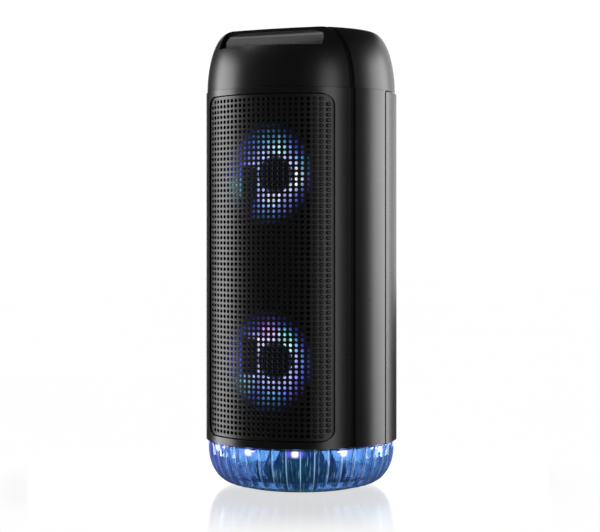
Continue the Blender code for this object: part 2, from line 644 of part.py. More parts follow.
def make_slot_socket(panel, name, place, outer, inner, tongue, tail):
    """A rectangular socket with a tongue, in a hole through the panel."""
    x, z = place
    face = JACK_DEPTH + 0.6
    low = (x - outer[0] / 2, tail, z - outer[1] / 2)
    high = (x + outer[0] / 2, face, z + outer[1] / 2)
    socket = box(name, low, high, SILVER)
    floor = face - 11.0
    mouth_low = (x - inner[0] / 2, floor, z - inner[1] / 2)
    mouth_high = (x + inner[0] / 2, face + 5, z + inner[1] / 2)
    combine(socket, box(f"{name}_mouth", mouth_low, mouth_high, MATTE_BLACK))
    width = inner[0] - 2.4
    slab_low = (x - width / 2, floor - 1, z - tongue / 2)
    slab_high = (x + width / 2, face - 1.2, z + tongue / 2)
    combine(socket, box(f"{name}_tongue", slab_low, slab_high, MATTE_BLACK), "UNION")
    hole_low = (low[0] - GAP, JACK_DEPTH - 9, low[2] - GAP)
    hole_high = (high[0] + GAP, JACK_DEPTH + 9, high[2] + GAP)
    combine(panel, box(f"{name}_hole", hole_low, hole_high, MATTE_BLACK))


def make_power_switch(panel, place, tail):
    """A rocker in a housing. Its axis runs along X, level with the panel's face."""
    x, z = place
    wide, tall = 13.0, 19.0
    low = (x - wide / 2, tail, z - tall / 2)
    high = (x + wide / 2, JACK_DEPTH + 1.2, z + tall / 2)
    housing = box("switch_housing", low, high, SATIN_BLACK)
    rim = 1.4
    low = (x - wide / 2 + rim, JACK_DEPTH - 12, z - tall / 2 + rim)
    high = (x + wide / 2 - rim, JACK_DEPTH + 9, z + tall / 2 - rim)
    combine(housing, box("switch_well", low, high, MATTE_BLACK))
    hole_low = (x - wide / 2 - GAP, JACK_DEPTH - 9, z - tall / 2 - GAP)
    hole_high = (x + wide / 2 + GAP, JACK_DEPTH + 9, z + tall / 2 + GAP)
    combine(panel, box("switch_hole", hole_low, hole_high, MATTE_BLACK))

    half_wide = wide / 2 - rim - 0.5
    half_tall = tall / 2 - rim - 0.9
    outline = [(-0.5, -7.0), (3.0, -half_tall), (3.2, -half_tall * 0.4), (1.8, 0.0), (3.2, half_tall * 0.4)]
    outline += [(3.0, half_tall), (-0.5, 7.0), (-4.5, 3.0), (-4.5, -3.0)]
    pivot = bpy.data.objects.new("rocker_pivot", None)
    bpy.context.collection.objects.link(pivot)
    pivot.location = (x * MM, JACK_DEPTH * MM, z * MM)
    pivot.rotation_euler = (math.radians(-7), 0, 0)
    rocker = prism("power_rocker", [(-y, h) for y, h in outline], -half_wide, half_wide, GLOSS_BLACK, "X")
    rocker.parent = pivot


def make_battery():
    """The battery pack in its cradle, behind the drivers."""
    wide, deep, tall = BATTERY_SIZE
    back = REAR_RADIUS - WALL - 10.0
    middle = (LOWER_DRIVER_Z + UPPER_DRIVER_Z) / 2 - 8.0
    low = (-wide / 2, back - deep, middle - tall / 2)
    high = (wide / 2, back, middle + tall / 2)
    box("battery_pack", low, high, CELL_BLUE, 3.0)
    wall = 2.4
    outer_low = (low[0] - wall - GAP, back - 0.8 * deep, low[2] - wall - GAP)
    outer_high = (high[0] + wall + GAP, back + GAP + wall, high[2] + wall + GAP)
    cradle = box("battery_cradle", outer_low, outer_high, MATTE_BLACK)
    hollow_low = (low[0] - GAP, back - deep - 5, low[2] - GAP)
    hollow_high = (high[0] + GAP, back + GAP, high[2] + GAP)
    combine(cradle, box("cradle_hollow", hollow_low, hollow_high, MATTE_BLACK))


def make_cap():
    """The domed cap with its openings, and the strip that lies in its groove."""
    outer = cap_outline(0.0)
    inner = cap_outline(WALL)
    cap = turned("top_cap", outer + inner[::-1], GLOSS_BLACK, FINE)
    reach = 1.3 * BODY_RADIUS
    deck = (DECK_HALF_WIDTH, -DECK_BACK_DEPTH, HEIGHT + 10)
    combine(cap, box("deck_window", (-DECK_HALF_WIDTH, -reach, LEDGE_Z), deck, MATTE_BLACK))
    pocket = rounded_rectangle(POCKET_HALF_WIDTH, -POCKET_FRONT, POCKET_BACK, 12.0)
    combine(cap, prism("pocket_window", pocket, SEAM_HIGH + WALL, HEIGHT + 10, MATTE_BLACK))
    combine(cap, groove_cutter("cap_groove"))

    strip = trim_sheet("cap_trim")
    low = (-reach, -GROOVE_DEPTH_FRONT + GAP, SEAM_HIGH + GAP)
    high = (reach, -GROOVE_DEPTH_BACK - GAP, HEIGHT + 10)
    combine(strip, box("cap_strip", low, high, MATTE_BLACK), "INTERSECT")


def button_places():
    """(x, depth) of each button, on an arc that follows the deck's front edge."""
    middle = (len(BUTTONS) - 1) / 2
    angles = [(index - middle) * BUTTON_STEP for index in range(len(BUTTONS))]
    return [(BUTTON_CIRCLE * math.sin(a), BUTTON_CIRCLE * math.cos(a)) for a in angles]


def make_deck():
    """The control deck under the cap's front opening, its buttons and their board."""
    back = DECK_BACK_DEPTH - WALL + GAP
    reach = 1.3 * BODY_RADIUS
    side = DECK_HALF_WIDTH + WALL
    deck = box("control_deck", (-side, -reach, DECK_BOTTOM), (side, -back, HEIGHT), SATIN_BLACK)
    combine(deck, solid_inside("deck_room", WALL + GAP), "INTERSECT")
    top_of_slope = HEIGHT - 6.0
    foot = DECK_SLOPE_FOOT
    lip = DECK_BACK_DEPTH + 0.3
    hollow = [(reach + 1, DECK_FLOOR), (foot + 1.5, DECK_FLOOR), (foot - 0.6, DECK_FLOOR + 1.3)]
    hollow += [(lip + 3.0, top_of_slope - 3.0), (lip + 1.2, top_of_slope - 0.8), (lip, HEIGHT + 5)]
    hollow += [(reach + 1, HEIGHT + 5)]
    half = DECK_HALF_WIDTH + GAP
    combine(deck, prism("deck_hollow", hollow, -half, half, MATTE_BLACK, "X"))
    relief = [(back - 5, DECK_BOTTOM - 2), (foot - 3.5, DECK_BOTTOM - 2), (lip + 0.5, top_of_slope - 7.5)]
    relief += [(back - 5, top_of_slope - 7.5)]
    combine(deck, prism("deck_relief", relief, -half + WALL, half - WALL, MATTE_BLACK, "X"))

    board_top = DECK_BOTTOM - 10.2
    board_low = board_top - BOARD_THICKNESS
    through = disc(BUTTON_RADIUS + GAP, DECK_BOTTOM - 5, DECK_FLOOR + 5)
    for name, (x, depth) in zip(BUTTONS, button_places()):
        hole = turned(f"hole_for_{name}", through, MATTE_BLACK, SMALL)
        hole.location = (x * MM, -depth * MM, 0)
        combine(deck, hole)
    for sign in (-1, 1):
        turn = 1.5 * BUTTON_STEP * sign
        post = turned(f"deck_post_{sign}", disc(2.0, board_top + GAP, DECK_BOTTOM + 1), SATIN_BLACK, SMALL)
        post.location = (BUTTON_CIRCLE * math.sin(turn) * MM, -BUTTON_CIRCLE * math.cos(turn) * MM, 0)
        combine(deck, post, "UNION")
    depths = (BUTTON_CIRCLE * math.cos(2 * BUTTON_STEP) - 7.0, BUTTON_CIRCLE + 2.5)
    box("button_board", (-39, -depths[1], board_low), (39, -depths[0], board_top), BOARD_GREEN)

    head_top = DECK_FLOOR + BUTTON_PROUD
    flange_top = DECK_BOTTOM - GAP
    flange_low = flange_top - 1.2
    stem_low = board_top + BUTTON_TRAVEL + GAP
    for name, (x, depth) in zip(BUTTONS, button_places()):
        profile = [(0, stem_low), (2.0, stem_low), (2.0, flange_low), (BUTTON_RADIUS + 1.1, flange_low)]
        profile += [(BUTTON_RADIUS + 1.1, flange_top), (BUTTON_RADIUS, flange_top)]
        profile += [(BUTTON_RADIUS, head_top - 0.8), (BUTTON_RADIUS - 0.8, head_top), (0, head_top)]
        button = turned(f"button_{name}", profile, SOFT_BLACK, SMALL)
        button.location = (x * MM, -depth * MM, 0)


def make_handle():
    """The tub that forms the hand pocket, and the bar across its front."""
    floor = HEIGHT - POCKET_FLOOR_DROP
    front = DECK_BACK_DEPTH - WALL - GAP
    side = POCKET_HALF_WIDTH + WALL + 0.5
    rear = POCKET_BACK + WALL + 0.5
    tub = box("handle_tub", (-side, -front, floor - WALL), (side, rear, HEIGHT), SATIN_BLACK, 2.0)
    combine(tub, solid_inside("tub_room", WALL + GAP), "INTERSECT")
    inside = rounded_rectangle(POCKET_HALF_WIDTH + 0.5, -front + WALL, POCKET_BACK + 0.5, 9.0)
    combine(tub, prism("tub_hollow", inside, floor, HEIGHT + 10, MATTE_BLACK))

    low, high = HEIGHT - BAR_THICKNESS, HEIGHT
    half = POCKET_HALF_WIDTH + 0.5 - GAP
    bar_front = front - WALL - GAP
    bar = rounded_rectangle(half, -bar_front, -POCKET_FRONT - GAP, 9.0 - GAP)
    grip = prism("grip_bar", bar, low, high, SOFT_BLACK)
    combine(grip, solid_inside("bar_room", WALL + GAP), "INTERSECT")


def main():
    for obj in list(bpy.data.objects):
        bpy.data.objects.remove(obj)
    make_base()
    make_shells()
    make_front()
    make_driver("lower", LOWER_DRIVER_Z)
    make_driver("upper", UPPER_DRIVER_Z)
    make_port()
    make_jacks()
    make_battery()
    make_cap()
    make_deck()
    make_handle()


main()
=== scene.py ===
"""Looks of a tall round party speaker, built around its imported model.

The speaker stands on the XY plane, its axis is Z and its grille faces -Y. Lengths are in
millimetres while a shape is worked out, and become metres as its mesh is made. A turn is an
angle about Z, counted from the front towards +X. A depth is a distance in front of the axis.
"""

import logging
import math
from dataclasses import dataclass
from enum import Enum
from typing import Callable

import bmesh
import bpy
import numpy as np
from mathutils import Matrix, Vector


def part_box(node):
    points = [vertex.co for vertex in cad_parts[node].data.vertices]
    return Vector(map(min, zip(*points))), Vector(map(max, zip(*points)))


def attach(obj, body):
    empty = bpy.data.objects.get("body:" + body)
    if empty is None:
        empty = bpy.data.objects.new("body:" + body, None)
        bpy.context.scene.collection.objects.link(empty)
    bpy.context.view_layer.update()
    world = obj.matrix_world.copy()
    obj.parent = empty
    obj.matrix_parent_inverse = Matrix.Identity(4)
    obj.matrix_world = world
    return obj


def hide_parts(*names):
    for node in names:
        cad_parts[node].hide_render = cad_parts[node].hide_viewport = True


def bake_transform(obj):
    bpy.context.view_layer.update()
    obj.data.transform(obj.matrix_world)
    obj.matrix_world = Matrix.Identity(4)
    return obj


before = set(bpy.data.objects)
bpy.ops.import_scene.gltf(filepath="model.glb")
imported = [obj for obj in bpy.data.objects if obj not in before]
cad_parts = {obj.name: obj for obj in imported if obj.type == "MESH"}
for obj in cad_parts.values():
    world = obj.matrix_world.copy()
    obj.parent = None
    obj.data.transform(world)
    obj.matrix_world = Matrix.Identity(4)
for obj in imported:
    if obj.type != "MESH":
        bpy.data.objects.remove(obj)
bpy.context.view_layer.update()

log = logging.getLogger("speaker")

MM = 0.001
GAP = 0.3
AIM_HEIGHT = 0.22  # height in metres that the lights point at
Colour = tuple[float, float, float]
Socket = bpy.types.NodeSocket


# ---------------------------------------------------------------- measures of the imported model


def span(node: str) -> tuple[np.ndarray, np.ndarray]:
    """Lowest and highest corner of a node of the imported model, in millimetres."""
    low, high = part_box(node)
    return np.array(low) / MM, np.array(high) / MM


@dataclass(frozen=True)
class Plan:
    """Sizes that several sub-assemblies share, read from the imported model."""

    body_radius: float = float(-span("front_shell")[0][1])
    rear_radius: float = float(span("rear_shell")[1][1])
    shell_low: float = float(span("front_shell")[0][2])
    shell_high: float = float(span("front_shell")[1][2])
    cap_radius: float = float(-span("top_cap")[0][1])
    top: float = float(span("top_cap")[1][2])
    wall: float = 3.0
    groove_back: float = 47.9
    groove_front: float = 52.8
    split: float = math.radians(86.2)
    groove_cut: float = 2.2

    @property
    def seam_high(self) -> float:
        """Height of the seam under the cap."""
        return self.shell_high + GAP


PLAN = Plan()


# ---------------------------------------------------------------- meshes


def arc(start: float, end: float, steps: int) -> np.ndarray:
    """Evenly spaced angles from start to end, given in degrees, in radians."""
    return np.radians(np.linspace(start, end, steps + 1))


def rounded_rectangle(half: float, low: float, high: float, corner: float, steps: int = 12) -> np.ndarray:
    """Corners of a rectangle about the second axis, each a quarter circle.

    A corner's points are centre + corner * (cos t, sin t), t over a quarter turn.

    Args:
        half: Half of the width.
        low: Lowest second coordinate.
        high: Highest second coordinate.
        corner: Corner radius.
        steps: Steps in a corner.

    Returns:
        Points (n, 2), counter-clockwise.
    """
    x, bottom, top = half - corner, low + corner, high - corner
    parts = []
    for centre, start in (((x, bottom), -90), ((x, top), 0), ((-x, top), 90), ((-x, bottom), 180)):
        t = arc(start, start + 90, steps)
        parts.append(np.stack([centre[0] + corner * np.cos(t), centre[1] + corner * np.sin(t)], -1))
    return np.concatenate(parts)


class Mould:
    """Gathers surfaces in millimetres and makes one mesh object of them."""

    def __init__(self) -> None:
        """Start with no surface."""
        self.points: list[np.ndarray] = []
        self.faces: list[list[int]] = []
        self.count = 0

    def add(self, points: np.ndarray, faces: np.ndarray) -> "Mould":
        """Add points and the faces between them.

        Args:
            points: Points (n, 3).
            faces: Indices into those points, (faces, corners).

        Returns:
            This mould.
        """
        self.points.append(points.reshape(-1, 3))
        self.faces += (faces + self.count).tolist()
        self.count += len(self.points[-1])
        return self

    def surface(self, grid: np.ndarray, wrap_rows: bool = False, wrap_columns: bool = False) -> "Mould":
        """Add quads between neighbours on a grid.

        Args:
            grid: Points (rows, columns, 3).
            wrap_rows: Join the last row to the first.
            wrap_columns: Join the last column to the first.

        Returns:
            This mould.
        """
        rows, columns = grid.shape[:2]
        index = np.arange(rows * columns).reshape(rows, columns)
        if wrap_rows:
            index = np.vstack([index, index[:1]])
        if wrap_columns:
            index = np.hstack([index, index[:, :1]])
        quads = np.stack([index[:-1, :-1], index[:-1, 1:], index[1:, 1:], index[1:, :-1]], -1)
        return self.add(grid, quads.reshape(-1, 4))

    def slab(self, outer: np.ndarray, inner: np.ndarray, wrap: bool = False) -> "Mould":
        """Add the closed solid between two sheets that share one grid.

        The rows of the outer sheet and those of the inner one, in reverse, go once round the
        solid. Where the columns don't wrap, each end is one face.

        Args:
            outer: Points (rows, columns, 3).
            inner: Points of the same shape.
            wrap: Join the last column to the first.

        Returns:
            This mould.
        """
        around = np.concatenate([outer, inner[::-1]])
        rows, columns = around.shape[:2]
        first = self.count
        self.surface(around, wrap_rows=True, wrap_columns=wrap)
        if not wrap:
            ends = np.arange(rows)[:, None] * columns + np.array([0, columns - 1])
            self.faces += (ends.T + first).tolist()
        return self

    def turned(self, profile: np.ndarray, segments: int, start: float = 0.0, sweep: float = math.tau,
               radius: Callable[[np.ndarray, np.ndarray, np.ndarray], np.ndarray] | None = None) -> "Mould":
        """Add a closed (radius, height) outline turned about Z.

        A point is (r sin t, -r cos t, z) for a turn t. With radius, r is radius(t, r, z).

        Args:
            profile: Outline (n, 2). It may pass along the axis.
            segments: Steps in the sweep.
            start: First turn.
            sweep: Angle swept, a whole turn unless told otherwise.
            radius: Gives the radius at a turn.

        Returns:
            This mould.
        """
        whole = abs(sweep - math.tau) < 1e-9
        t = start + sweep * np.arange(segments + (not whole))[:, None] / segments
        points = np.asarray(profile, float)[None]
        r, z = np.broadcast_arrays(points[..., 0], points[..., 1])
        r = np.broadcast_to(r, (len(t), r.shape[1]))
        z = np.broadcast_to(z, r.shape)
        if radius is not None:
            r = radius(np.broadcast_to(t, r.shape), r, z)
        grid = np.stack([r * np.sin(t), -r * np.cos(t), z], -1)
        first = self.count
        self.surface(grid, wrap_rows=whole, wrap_columns=True)
        if not whole:
            rows, columns = grid.shape[:2]
            ends = np.array([np.arange(columns), np.arange(columns) + (rows - 1) * columns])
            self.faces += (ends + first).tolist()
        return self

    def prism(self, outline: np.ndarray, low: float, high: float) -> "Mould":
        """Add a closed outline of (x, y) pushed from low to high along Z."""
        flat = np.asarray(outline, float)
        ring = np.stack([np.column_stack([flat, np.full(len(flat), level)]) for level in (low, high)])
        first = self.count
        self.surface(ring, wrap_columns=True)
        ends = np.arange(len(flat)) + np.array([[0], [len(flat)]])
        self.faces += (ends + first).tolist()
        return self

    def placed(self, matrix: Matrix) -> "Mould":
        """Turn and move all that was added so far, with the matrix in millimetres."""
        m = np.array(matrix, float)
        self.points = [points @ m[:3, :3].T + m[:3, 3] for points in self.points]
        return self

    def joined(self, other: "Mould") -> "Mould":
        """Add what another mould holds."""
        self.faces += [[corner + self.count for corner in face] for face in other.faces]
        self.points += other.points
        self.count += other.count
        return self

    def piece(self, name: str, finish: "Finish | None" = None, crease: float = 35.0) -> bpy.types.Object:
        """Make the mesh object: doubles merged, faces outwards, edges past the crease kept sharp.

        Args:
            name: The object's name.
            finish: Its finish.
            crease: Angle in degrees past which an edge is sharp.

        Returns:
            The object, at the origin.
        """
        mesh = bpy.data.meshes.new(name)
        mesh.from_pydata(np.concatenate(self.points) * MM, [], self.faces)
        closed_and_outward(mesh)
        mesh.shade_smooth()
        mesh.set_sharp_from_angle(angle=math.radians(crease))
        obj = bpy.data.objects.new(name, mesh)
        bpy.context.scene.collection.objects.link(obj)
        if finish is not None:
            mesh.materials.append(finish.material())
        return obj


def closed_and_outward(mesh: bpy.types.Mesh) -> None:
    """Merge a mesh's doubled points, drop what has no area, and face it outwards."""
    bm = bmesh.new()
    bm.from_mesh(mesh)
    bmesh.ops.remove_doubles(bm, verts=bm.verts, dist=2e-6)
    bmesh.ops.dissolve_degenerate(bm, dist=1e-7, edges=bm.edges)
    bmesh.ops.recalc_face_normals(bm, faces=bm.faces)
    bm.to_mesh(mesh)
    bm.free()


def carve(piece: bpy.types.Object, cutters: list[bpy.types.Object], operation: str = "DIFFERENCE",
          crease: float = 35.0) -> bpy.types.Object:
    """Cut solids out of a piece, or keep what it shares with them, and leave a plain mesh.

    Args:
        piece: The piece to cut.
        cutters: Solids that are used up.
        operation: DIFFERENCE or INTERSECT.
        crease: Angle in degrees past which an edge is sharp.

    Returns:
        The piece.
    """
    for cutter in cutters:
        modifier = piece.modifiers.new(cutter.name, "BOOLEAN")
        modifier.operation = operation
        modifier.solver = "EXACT"
        modifier.object = cutter
    bpy.context.view_layer.update()
    made = bpy.data.meshes.new_from_object(piece.evaluated_get(bpy.context.evaluated_depsgraph_get()))
    piece.modifiers.clear()
    piece.data = made
    made.name = piece.name
    made.shade_smooth()
    made.set_sharp_from_angle(angle=math.radians(crease))
    for cutter in cutters:
        bpy.data.objects.remove(cutter)
    return piece


def soften(piece: bpy.types.Object, width: float, segments: int = 2, angle: float = 35.0) -> bpy.types.Object:
    """Round a piece's edges over a width in millimetres, and keep its wide faces flat in shading."""
    bevel = piece.modifiers.new("edges", "BEVEL")
    bevel.width = width * MM
    bevel.segments = segments
    bevel.limit_method = "ANGLE"
    bevel.angle_limit = math.radians(angle)
    bevel.use_clamp_overlap = True
    bevel.miter_outer = "MITER_ARC"
    weighted = piece.modifiers.new("shading", "WEIGHTED_NORMAL")
    weighted.keep_sharp = True
    return piece


def recast(node: str, name: str, finish: "Finish", crease: float = 30.0) -> bpy.types.Object:
    """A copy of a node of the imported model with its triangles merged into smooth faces.

    Args:
        node: The node to copy.
        name: The new piece's name.
        finish: Its finish.
        crease: Angle in degrees past which an edge is sharp.

    Returns:
        The new piece, which doesn't yet stand for the node.
    """
    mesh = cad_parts[node].data.copy()
    bm = bmesh.new()
    bm.from_mesh(mesh)
    bmesh.ops.remove_doubles(bm, verts=bm.verts, dist=2e-6)
    bmesh.ops.dissolve_limit(bm, angle_limit=math.radians(0.5), verts=bm.verts, edges=bm.edges)
    bmesh.ops.recalc_face_normals(bm, faces=bm.faces)
    bm.to_mesh(mesh)
    bm.free()
    mesh.name = name
    for layer in list(mesh.color_attributes):
        mesh.color_attributes.remove(layer)
    mesh.materials.clear()
    mesh.materials.append(finish.material())
    mesh.shade_smooth()
    mesh.set_sharp_from_angle(angle=math.radians(crease))
    obj = bpy.data.objects.new(name, mesh)
    bpy.context.scene.collection.objects.link(obj)
    return obj


def settle(piece: bpy.types.Object, body: str, slot: str, *nodes: str) -> bpy.types.Object:
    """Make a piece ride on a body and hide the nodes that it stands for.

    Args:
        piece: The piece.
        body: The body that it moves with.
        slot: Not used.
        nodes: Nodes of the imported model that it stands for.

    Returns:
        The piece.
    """
    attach(piece, body)
    if nodes:
        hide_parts(*nodes)
    log.info("%s rides on %s", piece.name, body)
    return piece


# ---------------------------------------------------------------- finishes


class Recipe:
    """A Principled material in the making. Each method adds a node and gives its output."""

    def __init__(self, name: str) -> None:
        """Start a material with a Principled shader and its Object coordinates."""
        self.made = bpy.data.materials.new(name)
        self.made.use_nodes = True
        self.tree = self.made.node_tree
        self.shader = self.tree.nodes["Principled BSDF"]
        self.place = self.node("ShaderNodeTexCoord").outputs["Object"]

    def node(self, kind: str, **settings: object) -> bpy.types.Node:
        """Add a node and give it its settings."""
        made = self.tree.nodes.new(kind)
        for key, value in settings.items():
            setattr(made, key, value)
        return made

    def feed(self, target: Socket, value: object) -> None:
        """Link a value into a socket, or set it there if it is constant."""
        if isinstance(value, bpy.types.NodeSocket):
            self.tree.links.new(value, target)
        elif isinstance(value, tuple) and len(value) == 3 and target.type == "RGBA":
            target.default_value = (*value, 1.0)
        else:
            target.default_value = value

    def set(self, **inputs: object) -> None:
        """Set or link sockets of the shader, their names written with _ for a space."""
        for key, value in inputs.items():
            self.feed(self.shader.inputs[key.replace("_", " ")], value)

    def math(self, operation: str, *values: object, clamp: bool = False) -> Socket:
        """A Math node on one to three values."""
        made = self.node("ShaderNodeMath", operation=operation, use_clamp=clamp)
        for target, value in zip(made.inputs, values):
            self.feed(target, value)
        return made.outputs[0]

    def times(self, first: object, second: object) -> Socket:
        """Product of two values."""
        return self.math("MULTIPLY", first, second)

    def axes(self, vector: Socket) -> tuple[Socket, Socket, Socket]:
        """The three parts of a vector."""
        made = self.node("ShaderNodeSeparateXYZ")
        self.feed(made.inputs[0], vector)
        return made.outputs[0], made.outputs[1], made.outputs[2]

    def moved(self, centre: tuple[float, float, float],
              scale: tuple[float, float, float] = (1, 1, 1)) -> Socket:
        """Object coordinates in millimetres about a centre, stretched by a scale."""
        made = self.node("ShaderNodeMapping")
        self.feed(made.inputs["Vector"], self.place)
        made.inputs["Location"].default_value = [-c * s for c, s in zip(centre, scale)]
        made.inputs["Scale"].default_value = [s / MM for s in scale]
        return made.outputs[0]

    def noise(self, size: float, detail: float = 2.0, vector: Socket | None = None,
              rough: float = 0.5) -> Socket:
        """Noise whose features are size millimetres across, from 0 to 1."""
        made = self.node("ShaderNodeTexNoise")
        self.feed(made.inputs["Vector"], vector or self.place)
        made.inputs["Scale"].default_value = (1.0 if vector else 1.0 / MM) / size
        made.inputs["Detail"].default_value = detail
        made.inputs["Roughness"].default_value = rough
        return made.outputs["Fac"]

    def cells(self, size: float, vector: Socket | None = None, feature: str = "F1") -> Socket:
        """Distance to the nearest of scattered points that are size millimetres apart."""
        made = self.node("ShaderNodeTexVoronoi", feature=feature)
        self.feed(made.inputs["Vector"], vector or self.place)
        made.inputs["Scale"].default_value = (1.0 if vector else 1.0 / MM) / size
        return made.outputs["Distance"]

    def between(self, value: Socket, start: float, end: float, low: float = 0.0, high: float = 1.0) -> Socket:
        """A value's place between start and end, eased, carried over to low and high."""
        made = self.node("ShaderNodeMapRange", interpolation_type="SMOOTHSTEP")
        for target, given in zip(made.inputs, (value, start, end, low, high)):
            self.feed(target, given)
        return made.outputs[0]

    def ramp(self, value: Socket, stops: list[tuple[float, Colour]]) -> Socket:
        """A colour by a value from 0 to 1, between stops of (place, colour)."""
        made = self.node("ShaderNodeValToRGB")
        self.feed(made.inputs[0], value)
        elements = made.color_ramp.elements
        while len(elements) < len(stops):
            elements.new(1.0)
        for element, (place, colour) in zip(elements, stops):
            element.position = place
            element.color = (*colour, 1.0)
        return made.outputs["Color"]

    def mix(self, share: object, first: object, second: object, kind: str = "MIX") -> Socket:
        """Two colours mixed by a share of the second."""
        made = self.node("ShaderNodeMix", data_type="RGBA", blend_type=kind)
        self.feed(made.inputs["Factor"], share)
        self.feed(made.inputs[6], first)
        self.feed(made.inputs[7], second)
        return made.outputs[2]

    def bump(self, height: Socket, distance: float, strength: float = 1.0) -> None:
        """Raise the surface by a height from 0 to 1 times a distance in millimetres."""
        made = self.node("ShaderNodeBump")
        made.inputs["Strength"].default_value = strength
        made.inputs["Distance"].default_value = distance * MM
        self.feed(made.inputs["Height"], height)
        self.feed(self.shader.inputs["Normal"], made.outputs["Normal"])


class Finish:
    """A surface finish. Each kind gives its own recipe, and its material is made once."""

    name: str

    def fill(self, recipe: Recipe) -> None:
        """Fill the recipe in. Each kind has its own."""
        raise NotImplementedError

    def material(self) -> bpy.types.Material:
        """The finish's material."""
        found = bpy.data.materials.get(self.name)
        if found is None:
            recipe = Recipe(self.name)
            self.fill(recipe)
            found = recipe.made
        return found


@dataclass(frozen=True)
class Moulding(Finish):
    """Moulded plastic: fine spark-eroded grain, slight shrink ripple and handling marks.

    Attributes:
        name: The material's name.
        colour: Base colour.
        roughness: Mean roughness.
        grain: Height of the grain in millimetres.
        grain_size: Size of the grain in millimetres.
        ripple: Height of the slow shrink ripple in millimetres.
        specular: Specular level.
    """

    name: str
    colour: Colour
    roughness: float
    grain: float = 0.01
    grain_size: float = 0.5
    ripple: float = 0.0
    specular: float = 0.5

    def fill(self, recipe: Recipe) -> None:
        """Colour and roughness drift with the handling marks, and the grain is bump."""
        marks = recipe.noise(28.0, 5.0, rough=0.62)
        lighter = tuple(1.12 * c for c in self.colour)
        recipe.set(Base_Color=recipe.mix(recipe.between(marks, 0.35, 0.75), self.colour, lighter),
                   Roughness=recipe.between(marks, 0.3, 0.72, self.roughness * 0.975, self.roughness * 1.03),
                   Specular_IOR_Level=self.specular)
        grain = recipe.noise(self.grain_size, 2.0)
        if self.ripple:
            slow = recipe.noise(22.0, 1.0)
            grain = recipe.math("MULTIPLY_ADD", slow, self.ripple / self.grain, grain)
        recipe.bump(grain, self.grain)


@dataclass(frozen=True)
class SlopeMoulding(Moulding):
    """Moulding polished at the foot of a slope and grained towards its top.

    Attributes:
        low: Height in millimetres of the slope's foot.
        high: Height in millimetres of its top edge.
    """

    low: float = 0.0
    high: float = 1.0

    def fill(self, recipe: Recipe) -> None:
        """The plain moulding, whose roughness runs from 0.16 at the foot to 0.6 at the top."""
        super().fill(recipe)
        _, _, z = recipe.axes(recipe.moved((0, 0, 0)))
        grain = recipe.between(recipe.noise(4.0), 0.3, 0.7, -0.02, 0.02)
        recipe.set(Roughness=recipe.math("ADD", recipe.between(z, self.low, self.high, 0.16, 0.6), grain))


@dataclass(frozen=True)
class Rubber(Finish):
    """Soft matte rubber with a fine pebble grain and dust in its hollows.

    Attributes:
        name: The material's name.
        colour: Base colour.
        roughness: Mean roughness.
        pebble: Size of the pebbles in millimetres.
        depth: Depth between the pebbles in millimetres.
    """

    name: str
    colour: Colour
    roughness: float = 0.78
    pebble: float = 0.7
    depth: float = 0.03

    def fill(self, recipe: Recipe) -> None:
        """Pebbles are bump, and the hollows between them are a little dusty."""
        pebbles = recipe.cells(self.pebble)
        dusty = tuple(c + 0.02 for c in self.colour)
        recipe.set(Base_Color=recipe.mix(recipe.between(pebbles, 0.2, 0.8), self.colour, dusty),
                   Roughness=recipe.between(recipe.noise(6.0, 3.0), 0.3, 0.7, self.roughness - 0.02,
                                            self.roughness + 0.025),
                   Sheen_Weight=0.12, Sheen_Roughness=0.5)
        recipe.bump(recipe.math("SUBTRACT", 1.0, pebbles), self.depth)


@dataclass(frozen=True)
class Metal(Finish):
    """Turned or plated metal with fine tool marks round an axis.

    Attributes:
        name: The material's name.
        colour: Base colour.
        roughness: Mean roughness.
        pitch: Distance between tool marks in millimetres.
        depth: Depth of the tool marks in millimetres.
    """

    name: str
    colour: Colour
    roughness: float
    pitch: float = 0.35
    depth: float = 0.004

    def fill(self, recipe: Recipe) -> None:
        """Tool marks are bump from stretched noise, and tarnish varies the colour."""
        marks = recipe.noise(1.0, 2.0, recipe.moved((0, 0, 0), (0.12, 0.12, 1.0 / self.pitch)))
        tarnish = recipe.noise(7.0, 4.0)
        darker = tuple(c * 0.72 for c in self.colour)
        recipe.set(Metallic=1.0,
                   Base_Color=recipe.mix(recipe.between(tarnish, 0.5, 0.85), self.colour, darker),
                   Roughness=recipe.between(tarnish, 0.3, 0.75, self.roughness * 0.85, self.roughness * 1.3))
        recipe.bump(marks, self.depth)


@dataclass(frozen=True)
class Board(Finish):
    """Circuit board: solder mask over traces, with tinned pads.

    Attributes:
        name: The material's name.
        colour: Colour of the solder mask.
        pitch: Distance between traces in millimetres.
    """

    name: str
    colour: Colour = (0.012, 0.075, 0.04)
    pitch: float = 3.2

    def fill(self, recipe: Recipe) -> None:
        """Cells' borders stand for traces and their middles for tinned pads."""
        cells = recipe.cells(self.pitch)
        trace = recipe.between(cells, 0.42, 0.5)
        pad = recipe.between(cells, 0.16, 0.12)
        lighter = tuple(c * 2.1 for c in self.colour)
        masked = recipe.mix(trace, self.colour, lighter)
        recipe.set(Base_Color=recipe.mix(pad, masked, (0.55, 0.56, 0.52)), Metallic=pad,
                   Roughness=recipe.between(pad, 0.0, 1.0, 0.42, 0.28))
        recipe.bump(recipe.math("ADD", trace, pad), 0.06)


